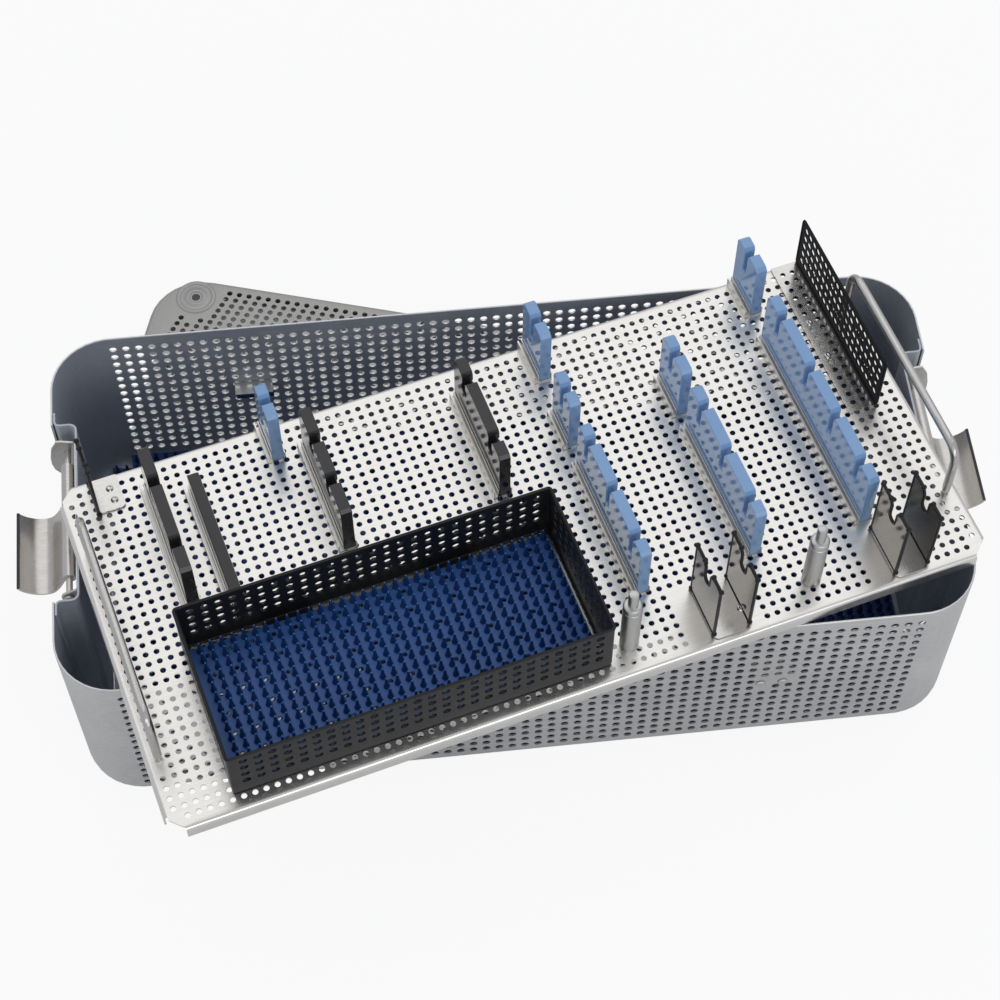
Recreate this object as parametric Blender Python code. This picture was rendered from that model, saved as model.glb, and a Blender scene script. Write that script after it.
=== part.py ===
"""Sterilization basket: a deep metal basket standing on its lid, with an instrument tray
laid across its rim and a small parts basket in the tray. Metres, Z up, table at z = 0."""

import math

import bpy
import numpy as np

MM = 0.001
GAP = 0.3                       # clearance between pieces that touch, in mm

# Where the three large pieces lie, in mm and degrees
BASKET_AT = (-0.74, -26.3)      # centre of the basket
LID_AT = (10.74, 53.15)         # centre of the lid under it
LID_TURN = -16.84
TRAY_AT = (5.04, -67.79)        # centre of the tray on top
TRAY_TURN = 14.774

# Lid
LID_LENGTH, LID_WIDTH, LID_HEIGHT = 542.0, 249.0, 11.0
CORNER_RADIUS = 36.0
SHEET = 1.2                     # sheet thickness of lid, basket and tray
HEM_WIDTH = 6.0

# Basket
BASKET_LENGTH, BASKET_WIDTH, BASKET_HEIGHT = 538.0, 245.0, 140.0
BASKET_FLOOR_Z = LID_HEIGHT + GAP
BOTTOM_RADIUS = 12.0
POCKET_HALF = 61.7              # half the opening in each end wall
POCKET_X = 254.6                # outer face of the pocket's back wall
LAP_Y = 70.0                    # where the end plate stops behind the wrapped sheet

# Openings that stand for the perforation: their number along and across, their pitch and
# their radius, on the lid and on each long wall of the basket
LID_OPENINGS, LID_OPENING_PITCH, LID_OPENING_RADIUS = (12, 5), (40.0, 40.0), 13.2
WALL_OPENINGS, WALL_OPENING_PITCH, WALL_OPENING_RADIUS = (12, 3), (39.3, 40.0), 11.8
WALL_OPENING_Z = 72.8           # height of the middle row on the basket

# Tray
TRAY_LENGTH, TRAY_WIDTH, TRAY_FLANGE = 500.0, 234.0, 9.3
TRAY_CHAMFER = 11.5
TRAY_TOP_Z = BASKET_FLOOR_Z + BASKET_HEIGHT + GAP + TRAY_FLANGE

# Holder strips
STRIP_THICK, STRIP_TOP = 7.0, 46.0
RAIL_FLOOR, RAIL_WALL, RAIL_HEIGHT = 1.0, 1.0, 6.5
SLOT_FLOOR_Z = 27.0

# Parts basket, by its edges in tray coordinates
PARTS_U = (-210.6, 14.4)
PARTS_V = (-107.4, -7.4)
PARTS_HEIGHT = 44.0


def clear_scene():
    for obj in list(bpy.data.objects):
        bpy.data.objects.remove(obj)


def material(name, colour, roughness, metallic=0.0):
    made = bpy.data.materials.new(name)
    made.use_nodes = True
    shader = made.node_tree.nodes["Principled BSDF"]
    shader.inputs["Base Color"].default_value = (*colour, 1.0)
    shader.inputs["Roughness"].default_value = roughness
    shader.inputs["Metallic"].default_value = metallic
    return made


def frame_at(name, x, y, z, turn=0.0):
    """An empty that carries the pieces of one group, in mm and degrees."""
    holder = bpy.data.objects.new(name, None)
    holder.location = (x * MM, y * MM, z * MM)
    holder.rotation_euler = (0.0, 0.0, math.radians(turn))
    bpy.context.scene.collection.objects.link(holder)
    return holder


def solid(name, points, faces, look, parent, at=(0.0, 0.0, 0.0), turn=(0.0, 0.0, 0.0)):
    """One closed mesh, its points in mm relative to its own origin."""
    mesh = bpy.data.meshes.new(name)
    mesh.from_pydata((np.asarray(points, float) * MM).tolist(), [], faces)
    mesh.materials.append(look)
    mesh.polygons.foreach_set("use_smooth", [True] * len(mesh.polygons))
    mesh.set_sharp_from_angle(angle=math.radians(35.0))
    obj = bpy.data.objects.new(name, mesh)
    obj.parent = parent
    obj.location = [value * MM for value in at]
    obj.rotation_euler = [math.radians(value) for value in turn]
    bpy.context.scene.collection.objects.link(obj)
    return obj


def make_cutter(obj):
    obj.hide_render = True
    obj.display_type = "WIRE"
    return obj


def combine(obj, other, operation):
    """Joins another mesh to this one, or cuts it out, as part of its own mesh."""
    step = obj.modifiers.new(operation.title(), "BOOLEAN")
    step.operation = operation
    step.solver = "EXACT"
    step.object = other


def rounded_outline(corners, inset=0.0, steps=4):
    """The outline through corners (x, y, radius), counter-clockwise, moved inwards by inset.
    Every inset has the same number of points, so that two outlines can be joined."""
    points = []
    spots = [np.array(corner[:2], float) for corner in corners]
    for index, corner in enumerate(corners):
        here = spots[index]
        coming = here - spots[index - 1]
        going = spots[(index + 1) % len(spots)] - here
        coming /= np.linalg.norm(coming)
        going /= np.linalg.norm(going)
        normal_in = np.array([coming[1], -coming[0]])
        normal_out = np.array([going[1], -going[0]])
        side = 1.0 if coming[0] * going[1] - coming[1] * going[0] > 0 else -1.0
        turned = here - inset * (normal_in + normal_out) / (1.0 + normal_in @ normal_out)
        radius = max(corner[2] - side * inset, 0.3)
        bend = math.acos(max(-1.0, min(1.0, float(coming @ going))))
        centre = turned - coming * radius * math.tan(bend / 2) - side * normal_in * radius
        for step in range(steps + 1):
            angle = side * bend * step / steps
            cos, sin = math.cos(angle), math.sin(angle)
            away = np.array([
                normal_in[0] * cos - normal_in[1] * sin,
                normal_in[0] * sin + normal_in[1] * cos,
            ])
            points.append(centre + side * away * radius)
    return np.array(points)


def ring(outline, height):
    """An outline lifted to one height, or to one height a point."""
    return np.column_stack([outline, np.broadcast_to(height, len(outline))])


def loft(rings):
    """Points and faces of a body whose skin runs through the rings, capped at both ends."""
    count = len(rings[0])
    faces = [list(range(count))[::-1]]
    for level in range(len(rings) - 1):
        low, high = level * count, (level + 1) * count
        for i in range(count):
            j = (i + 1) % count
            faces.append([low + i, low + j, high + j, high + i])
    faces.append([(len(rings) - 1) * count + i for i in range(count)])
    return np.concatenate(rings), faces


def prism(outline, low, high, axis="z"):
    """A flat outline pushed along an axis. Outlines lie in (x, y), (y, z) or (z, x)."""
    points, faces = loft([ring(outline, low), ring(outline, high)])
    order = {"z": (0, 1, 2), "x": (2, 0, 1), "y": (1, 2, 0)}[axis]
    return points[:, order], faces


def box(x, y, z):
    """A box between three pairs of limits."""
    outline = np.array([(x[0], y[0]), (x[1], y[0]), (x[1], y[1]), (x[0], y[1])])
    return prism(outline, z[0], z[1])


def joined(*meshes):
    """Several meshes as one list of points and faces."""
    points, faces, start = [], [], 0
    for spots, polygons in meshes:
        points.append(spots)
        faces += [[start + index for index in polygon] for polygon in polygons]
        start += len(spots)
    return np.concatenate(points), faces


def turned(profile, sides, axis="z"):
    """A round body from (radius, height) pairs that run from its bottom to its top."""
    angles = np.arange(sides) * 2 * math.pi / sides
    circle = np.column_stack([np.cos(angles), np.sin(angles)])
    points, faces = loft([ring(circle * radius, height) for radius, height in profile])
    order = {"z": (0, 1, 2), "x": (2, 0, 1), "y": (1, 2, 0)}[axis]
    return points[:, order], faces


def strip_outline(path, thick):
    """A flat outline around an open path: the path itself, then back at one thickness to
    its left."""
    path = np.array(path, float)
    run = np.diff(path, axis=0)
    run /= np.linalg.norm(run, axis=1)[:, None]
    left = np.column_stack([-run[:, 1], run[:, 0]])
    before = np.vstack([left[:1], left])
    after = np.vstack([left, left[-1:]])
    share = 1.0 + (before * after).sum(axis=1)
    back = path + thick * (before + after) / share[:, None]
    return np.vstack([path, back[::-1]])


def arc(centre, radius, start, end, steps):
    """Points on an arc, with angles in degrees."""
    angles = np.radians(np.linspace(start, end, steps + 1))
    return np.column_stack([
        centre[0] + radius * np.cos(angles),
        centre[1] + radius * np.sin(angles),
    ])


def counter_clockwise(outline):
    x, y = outline[:, 0], outline[:, 1]
    area = (x * np.roll(y, -1) - y * np.roll(x, -1)).sum()
    return outline if area > 0 else outline[::-1]


def mirrored(mesh, axis):
    """The mesh on the other side of its origin, its faces still pointing out."""
    points, faces = mesh
    flip = np.ones(3)
    flip[axis] = -1.0
    return points * flip, [polygon[::-1] for polygon in faces]


def rectangle(length, width, radius):
    x, y = length / 2, width / 2
    return [(x, -y, radius), (x, y, radius), (-x, y, radius), (-x, -y, radius)]


def notched_rectangle(length, width, radius, half, depth, bend):
    """A rounded rectangle with a notch in the middle of each short side."""
    x, y = length / 2, width / 2
    right = [
        (x, -y, radius), (x, -half, bend), (x - depth, -half, bend),
        (x - depth, half, bend), (x, half, bend), (x, y, radius),
    ]
    return right + [(-a, -b, r) for a, b, r in right]


def grid_of(count, pitch):
    """Centres of a grid of openings around the origin."""
    return [
        ((i - (count[0] - 1) / 2) * pitch[0], (j - (count[1] - 1) / 2) * pitch[1])
        for i in range(count[0]) for j in range(count[1])
    ]


def make_lid(look, parent):
    """Flat lid with a down-turned skirt, a hem folded inwards, a notch at each end and a
    grid of openings."""
    corners = notched_rectangle(LID_LENGTH, LID_WIDTH, CORNER_RADIUS, 59.5, 15.0, 6.0)
    height, hem = LID_HEIGHT, HEM_WIDTH
    levels = [
        (3.5, height - SHEET), (SHEET, height - 3.0), (SHEET, SHEET), (hem, SHEET),
        (hem, 0.0), (0.6, 0.0), (0.0, 0.6), (0.0, height - 3.0), (0.9, height - 0.9),
        (3.0, height),
    ]
    rings = [ring(rounded_outline(corners, inset), z) for inset, z in levels]
    lid = solid("lid_plate", *loft(rings), look, parent)
    plug = turned([(LID_OPENING_RADIUS, height - 4.0), (LID_OPENING_RADIUS, height + 3.0)], 8)
    plugs = joined(*[
        (plug[0] + (x, y, 0.0), plug[1])
        for x, y in grid_of(LID_OPENINGS, LID_OPENING_PITCH)
    ])
    cutter = make_cutter(solid("lid_opening_cutter", *plugs, None, parent))
    combine(lid, cutter, "DIFFERENCE")


RIVET_X = [-155.75, -142.25, 142.25, 155.75]
RIVET_Z = 70.0
WALL_OUT = BASKET_WIDTH / 2
BRACKET_FACE = WALL_OUT - SHEET - GAP


def rivet_holes(parent):
    """One cutter for every rivet hole through both long walls and their brackets."""
    shafts = [
        turned([(1.8, low), (1.8, high)], 12, "y")
        for low, high in ((-WALL_OUT - 5, -WALL_OUT + 9), (WALL_OUT - 9, WALL_OUT + 5))
    ]
    placed = [
        (points + (x, 0.0, RIVET_Z), faces) for x in RIVET_X for points, faces in shafts
    ]
    return make_cutter(solid("rivet_hole_cutter", *joined(*placed), None, parent))


def wall_openings(parent):
    """One cutter for the grid of openings in both long walls, left out at the rivets."""
    plugs = []
    radius = WALL_OPENING_RADIUS
    for x, z in grid_of(WALL_OPENINGS, WALL_OPENING_PITCH):
        nearest = min(abs(x - rivet) for rivet in RIVET_X)
        if z == 0.0 and nearest < radius + 3.5:
            continue
        for side in (-1, 1):
            low, high = sorted((side * (WALL_OUT - 5.0), side * (WALL_OUT + 5.0)))
            points, faces = turned([(radius, low), (radius, high)], 8, "y")
            plugs.append((points + (x, 0.0, WALL_OPENING_Z + z), faces))
    return make_cutter(solid("wall_opening_cutter", *joined(*plugs), None, parent))


def make_basket(look, parent, holes):
    """Basket sheet: floor, long walls with their openings, and the wrapped corners, open
    at both ends where the end plates go in."""
    corners = rectangle(BASKET_LENGTH, BASKET_WIDTH, CORNER_RADIUS)
    rings = []
    for angle in np.radians([0.0, 30.0, 60.0, 90.0]):
        inset = BOTTOM_RADIUS * (1.0 - math.sin(angle))
        z = BOTTOM_RADIUS * (1.0 - math.cos(angle))
        rings.append(ring(rounded_outline(corners, inset), z))
    rings.append(ring(rounded_outline(corners, 0.0), BASKET_HEIGHT))
    rings.append(ring(rounded_outline(corners, SHEET), BASKET_HEIGHT))
    inner = BOTTOM_RADIUS - SHEET
    for angle in np.radians([90.0, 60.0, 30.0, 0.0]):
        inset = SHEET + inner * (1.0 - math.sin(angle))
        z = SHEET + inner * (1.0 - math.cos(angle))
        rings.append(ring(rounded_outline(corners, inset), z))
    shell = solid("basket_shell", *loft(rings), look, parent)
    inside, half = POCKET_X - SHEET - GAP, POCKET_HALF
    openings = joined(
        box((inside, 300.0), (-half, half), (-5.0, 150.0)),
        box((-300.0, -inside), (-half, half), (-5.0, 150.0)),
    )
    opening = make_cutter(solid("end_opening_cutter", *openings, None, parent))
    combine(shell, opening, "DIFFERENCE")
    combine(shell, holes, "DIFFERENCE")
    combine(shell, wall_openings(parent), "DIFFERENCE")


def make_end_plate(name, look, parent, side):
    """End wall with the latch pocket stepped into it, lapped behind the wrapped sheet."""
    outer = BASKET_LENGTH / 2 - SHEET - GAP
    step_y, bend = POCKET_HALF - GAP - SHEET, 3.5
    lower = np.vstack([
        [(outer, -LAP_Y)],
        arc((outer - bend, -step_y - bend), bend, 0.0, 90.0, 4),
        arc((POCKET_X + bend, -step_y + bend), bend, 270.0, 180.0, 4),
    ])
    upper = (lower * (1.0, -1.0))[::-1]
    outline = strip_outline(np.vstack([lower, upper]), SHEET)
    outline = counter_clockwise(outline)
    foot = np.interp(outline[:, 0], (POCKET_X + 1.0, outer - SHEET - 1.0), (0.0, 13.0))
    rings = [ring(outline, foot), ring(outline, BASKET_HEIGHT)]
    mesh = loft(rings)
    solid(name, *(mesh if side > 0 else mirrored(mesh, 0)), look, parent)


def make_bracket(name, look, parent, x, side, holes):
    """Angle bracket on a long wall: an upright plate with a shelf folded inwards."""
    face = BRACKET_FACE
    path = [(face, 65.5), (face, 82.5), (face - 9.5, 82.5)]
    outline = counter_clockwise(strip_outline(path, SHEET))
    mesh = prism(outline, x - 12.0, x + 12.0, "x")
    bracket = solid(name, *(mesh if side > 0 else mirrored(mesh, 1)), look, parent)
    combine(bracket, holes, "DIFFERENCE")


def make_rivet(name, look, parent, x, side):
    """Domed rivet through the wall and the bracket, its origin on the wall's face."""
    tip = -(WALL_OUT - BRACKET_FACE + SHEET + GAP)
    profile = [
        (2.3, tip - 0.8), (2.6, tip - 0.4), (2.6, tip), (1.5, tip), (1.5, GAP),
        (3.1, GAP), (2.7, 0.9), (1.6, 1.3),
    ]
    mesh = turned(profile, 12, "y")
    if side < 0:
        mesh = mirrored(mesh, 1)
    solid(name, *mesh, look, parent, at=(x, side * WALL_OUT, RIVET_Z))


AXIS_X, AXIS_Z = 261.4, 124.0
PIN_RADIUS = 2.0


def make_latch(side, word, looks, frames):
    """Latch: a bracket plate in the pocket, a pin, and a flap that is rolled round it,
    slopes down and out and ends in a lip turned up. Its origin is on the pin's axis."""
    basket, metal = frames["basket"], looks["steel"]
    back = POCKET_X + GAP
    plate = box((back, back + 1.2), (-50.0, 53.0), (104.0, 134.0))
    front_ear = counter_clockwise(np.vstack([
        [(114.0, back + 0.6)],
        arc((AXIS_Z, AXIS_X), 4.6, 150.0, 30.0, 5),
        [(132.0, back + 0.6)],
    ]))
    rear_ear = counter_clockwise(np.array([
        (104.8, back + 0.6), (101.4, 266.0), (101.6, 269.4), (106.0, 272.0), (112.0, 272.9),
        (118.6, 272.6), (127.8, 270.8), (135.4, 266.6), (135.4, 264.4),
        (133.0, back + 0.6),
    ]))
    front = prism(front_ear, -50.0, -48.6, "y")
    rear = prism(rear_ear, 51.6, 53.0, "y")
    bracket = solid("latch_bracket_" + word, *flipped(plate, side), metal, basket)
    ears = make_cutter(
        solid("ear_joiner_" + word, *flipped(joined(front, rear), side), metal, basket)
    )
    combine(bracket, ears, "UNION")
    bore = turned([(PIN_RADIUS + 0.08, -60.0), (PIN_RADIUS + 0.08, 60.0)], 24, "y")
    bore = make_cutter(solid(
        "pin_bore_cutter_" + word, *bore, None, basket, at=(side * AXIS_X, 0.0, AXIS_Z)
    ))
    combine(bracket, bore, "DIFFERENCE")
    pin = turned([
        (3.0, -51.8), (3.0, -50.4), (PIN_RADIUS, -50.4), (PIN_RADIUS, 53.4), (3.0, 53.4),
        (3.0, 54.6),
    ], 24, "y")
    solid(
        "latch_pin_" + word, *pin, metal, basket, at=(side * AXIS_X, 0.0, AXIS_Z)
    )
    barrel = arc((0.0, 0.0), 4.0, 0.0, 360.0, 24)[:-1]
    inner = arc((0.0, 0.0), PIN_RADIUS + 0.08, 0.0, 360.0, 24)[:-1]
    barrel_mesh = tube(barrel, inner, -37.0, 41.0)
    path = np.array([
        (3.4, -0.4), (4.2, -12.0), (6.4, -19.0), (9.6, -25.4), (12.4, -29.8), (15.2, -32.6),
        (18.4, -33.6), (22.4, -33.4), (26.2, -32.2), (29.8, -29.9), (32.5, -27.2),
        (33.84, -24.8),
    ])
    outline = counter_clockwise(strip_outline(path, -1.3))
    flap_mesh = prism(outline[:, ::-1][::-1], -26.5, 26.5, "y")
    flap = solid(
        "latch_flap_" + word, *flipped(flap_mesh, side), metal, basket,
        at=(side * AXIS_X, 0.0, AXIS_Z),
    )
    barrel_part = make_cutter(solid(
        "barrel_joiner_" + word, *barrel_mesh, metal, basket,
        at=(side * AXIS_X, 0.0, AXIS_Z),
    ))
    combine(flap, barrel_part, "UNION")


def flipped(mesh, side):
    return mesh if side > 0 else mirrored(mesh, 0)


def tube(outer, inner, low, high):
    """A tube along Y between two outlines with the same number of points, in (z, x)."""
    count = len(outer)
    rings = [ring(inner, low), ring(outer, low), ring(outer, high), ring(inner, high)]
    points = np.concatenate(rings)[:, (1, 2, 0)]
    faces = []
    for level in range(4):
        a, b = level * count, (level + 1) % 4 * count
        for i in range(count):
            j = (i + 1) % count
            faces.append([a + i, a + j, b + j, b + i])
    return points, faces


def finger_mat(length, width, thick, tall, columns, rows, cut=0.0):
    """A mat whose top carries one pointed four-sided finger in each cell. With cut, each
    corner is drawn in by that much along both sides, and its cell carries no finger."""
    edge = 3.0
    x = np.linspace(-length / 2 + edge, length / 2 - edge, columns + 1)
    y = np.linspace(-width / 2 + edge, width / 2 - edge, rows + 1)
    points, faces = [], []
    grid = np.arange((columns + 1) * (rows + 1)).reshape(columns + 1, rows + 1)
    for a in x:
        points += [(a, b, thick) for b in y]
    for i in (0, columns):
        for j in (0, rows):
            a, b, z = points[grid[i, j]]
            points[grid[i, j]] = (a - math.copysign(cut, a), b - math.copysign(cut, b), z)
    inner = 0.27
    for i in range(columns):
        for j in range(rows):
            if cut and i in (0, columns - 1) and j in (0, rows - 1):
                faces.append([grid[i, j], grid[i + 1, j], grid[i + 1, j + 1], grid[i, j + 1]])
                continue
            start = len(points)
            mid_x, mid_y = (x[i] + x[i + 1]) / 2, (y[j] + y[j + 1]) / 2
            reach = inner * min(x[1] - x[0], y[1] - y[0])
            points += [
                (mid_x - reach, mid_y - reach, thick), (mid_x + reach, mid_y - reach, thick),
                (mid_x + reach, mid_y + reach, thick), (mid_x - reach, mid_y + reach, thick),
                (mid_x, mid_y, thick + tall),
            ]
            cell = [grid[i, j], grid[i + 1, j], grid[i + 1, j + 1], grid[i, j + 1]]
            for k in range(4):
                n = (k + 1) % 4
                faces.append([cell[k], cell[n], start + n, start + k])
                faces.append([start + k, start + n, start + 4])
    rim = [grid[i, 0] for i in range(columns)]
    rim += [grid[columns, j] for j in range(rows)]
    rim += [grid[columns - i, rows] for i in range(columns)]
    rim += [grid[0, rows - j] for j in range(rows)]
    top = np.array(points)[rim][:, :2]
    stretch = np.array([length, width]) / np.array([length - 2 * edge, width - 2 * edge])
    start, count = len(points), len(rim)
    points += [(a, b, thick) for a, b in top * stretch]
    points += [(a, b, 0.0) for a, b in top * stretch]
    for k in range(count):
        n = (k + 1) % count
        faces.append([start + k, start + n, rim[n], rim[k]])
        faces.append([start + count + k, start + count + n, start + n, start + k])
    faces.append([start + count + k for k in range(count)][::-1])
    return np.array(points), [[int(index) for index in polygon] for polygon in faces]


def make_tray(look, parent):
    """Tray sheet with a flange folded down on each side; its corners are cut off and open."""
    x, y, cut = TRAY_LENGTH / 2, TRAY_WIDTH / 2, TRAY_CHAMFER
    end = cut + 1.5
    corner = [(x, y - end, 1), (x, y - cut, 0), (x - cut, y, 0), (x - end, y, 1)]
    spots = np.array([
        (a * right, b * back, fold)
        for right, back in ((1, 1), (-1, 1), (-1, -1), (1, -1))
        for a, b, fold in (corner if right == back else corner[::-1])
    ], float)
    outline, fold = spots[:, :2], spots[:, 2]

    def level(inset, drop):
        shrink = 1.0 - inset / np.array([x, y])
        return ring(outline * shrink, -SHEET - (drop - SHEET) * fold)

    def flat(inset, height):
        return ring(outline * (1.0 - inset / np.array([x, y])), height)

    rings = [
        flat(4.0, -SHEET), level(1.5, 3.2), level(SHEET, TRAY_FLANGE),
        level(0.0, TRAY_FLANGE), level(0.0, 3.0), flat(0.7, -0.75), flat(2.6, 0.0),
    ]
    solid("insert_sheet", *loft(rings), look, parent)


def make_handle(name, look, parent, u):
    """Upright U-shaped handle of round rod."""
    rod, reach, top, bend = 2.75, 70.0, 45.0, 11.0
    path = [(-reach, GAP), (-reach, 12.0)]
    path += list(arc((-reach + bend, top - rod - bend), bend, 180.0, 90.0, 5))
    path += [(-a, b) for a, b in path[::-1]]
    path = np.array(path)
    run = np.gradient(path, axis=0)
    run[0], run[-1] = (0.0, 1.0), (0.0, -1.0)
    run /= np.linalg.norm(run, axis=1)[:, None]
    rings = []
    for spot, step in zip(path, run):
        angles = np.arange(12) * 2 * math.pi / 12
        across = np.array([-step[1], step[0]])
        side = spot + rod * np.cos(angles)[:, None] * across
        rings.append(np.column_stack([rod * np.sin(angles), side]))
    solid(name, *loft(rings), look, parent, at=(u, 0.0, 0.0))


def make_holder(name, look, rail_look, parent, u, v, slots, top=STRIP_TOP, keyhole=False):
    """Upright comb strip with slots for instruments, standing in a channel rail."""
    half, low, cut = STRIP_THICK / 2, RAIL_FLOOR + 2 * GAP, 2.2
    outline = [(v[0], low), (v[1], low), (v[1], top - cut), (v[1] - cut, top)]
    for centre in sorted(slots, reverse=True):
        wide, neck = (4.2, 2.6) if keyhole else (3.6, 2.2)
        foot = SLOT_FLOOR_Z
        side = [(wide, top), (neck, top - 2.4), (neck, foot)]
        if keyhole:
            side[2:] = [(neck, foot + 7.5), (4.0, foot + 5.0), (4.0, foot + 1.5), (2.4, foot)]
        outline += [(centre + reach, z) for reach, z in side]
        outline += [(centre - reach, z) for reach, z in side[::-1]]
    outline += [(v[0] + cut, top), (v[0], top - cut)]
    mesh = prism(counter_clockwise(np.array(outline)), -half, half, "x")
    solid(name, *mesh, look, parent, at=(u, 0.0, 0.0))
    inner, far, wall = half + GAP, half + 1.6, RAIL_WALL
    section = np.array([
        (-far - wall, GAP), (inner + wall, GAP), (inner + wall, RAIL_HEIGHT),
        (inner, RAIL_HEIGHT), (inner, GAP + RAIL_FLOOR), (-far, GAP + RAIL_FLOOR),
        (-far, RAIL_HEIGHT), (-far - wall, RAIL_HEIGHT),
    ])
    points, faces = prism(section[:, ::-1][::-1], v[0], v[1], "y")
    solid(name + "_rail", points, faces, rail_look, parent, at=(u, 0.0, 0.0))


def notch_plate(u, v, height, thick=1.5):
    """Upright plate with a round-bottomed notch in its top edge, in the plane of u."""
    middle = (v[0] + v[1]) / 2
    outline = [(v[0], 0.8), (v[1], 0.8), (v[1], height)]
    outline += [(middle + 6.0, height), (middle + 3.5, height - 4.0)]
    outline += arc((middle, height - 11.5), 3.5, 0.0, -180.0, 6).tolist()
    outline += [(middle - 3.5, height - 4.0), (middle - 6.0, height), (v[0], height)]
    return prism(counter_clockwise(np.array(outline)), u - thick / 2, u + thick / 2, "x")


def make_notch_bracket(name, look, parent, plates, base_u, base_v, v, height):
    """One or two notched plates folded up from a foot plate."""
    foot = solid(name, *box(base_u, base_v, (GAP, GAP + 1.2)), look, parent)
    uprights = joined(*[notch_plate(u, v, height) for u in plates])
    uprights = make_cutter(solid(name + "_joiner", *uprights, look, parent))
    combine(foot, uprights, "UNION")


def make_post(name, look, parent, u, v):
    """Round post with a thinner pin on top."""
    profile = [
        (5.3, 0.0), (5.6, 0.4), (5.6, 40.2), (5.2, 40.6), (5.2, 41.4), (5.6, 41.8),
        (5.6, 44.0), (4.6, 45.0), (3.0, 45.0), (3.0, 56.2), (2.2, 57.0),
    ]
    solid(name, *turned(profile, 16), look, parent, at=(u, v, GAP))


def make_parts_basket(looks, parent):
    """Small open basket with a rolled rim, and the mat on its floor."""
    length, width = PARTS_U[1] - PARTS_U[0], PARTS_V[1] - PARTS_V[0]
    at = ((PARTS_U[0] + PARTS_U[1]) / 2, (PARTS_V[0] + PARTS_V[1]) / 2, GAP)
    bead = 1.2
    corners = rectangle(length, width, 4.6)
    levels = [
        (3.0 + bead, 0.0), (0.9 + bead, 0.9), (bead, 3.0), (bead, PARTS_HEIGHT - 2.4),
        (0.2, PARTS_HEIGHT - 1.8), (0.0, PARTS_HEIGHT - 0.8), (0.6, PARTS_HEIGHT),
        (bead + 0.6, PARTS_HEIGHT), (bead + 1.0, PARTS_HEIGHT - 1.0),
        (bead + 1.0, 3.4), (bead + 1.7, 1.7), (bead + 3.4, 1.0),
    ]
    rings = [ring(rounded_outline(corners, inset, 3), z) for inset, z in levels]
    solid("parts_basket_shell", *loft(rings), looks["black"], parent, at=at)
    mat = finger_mat(length - 14.0, width - 20.0, 2.0, 8.5, 26, 11)
    place = (at[0], at[1] - 3.0, at[2] + 1.0 + GAP)
    solid("parts_mat", *mat, looks["mat"], parent, at=place)


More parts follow.
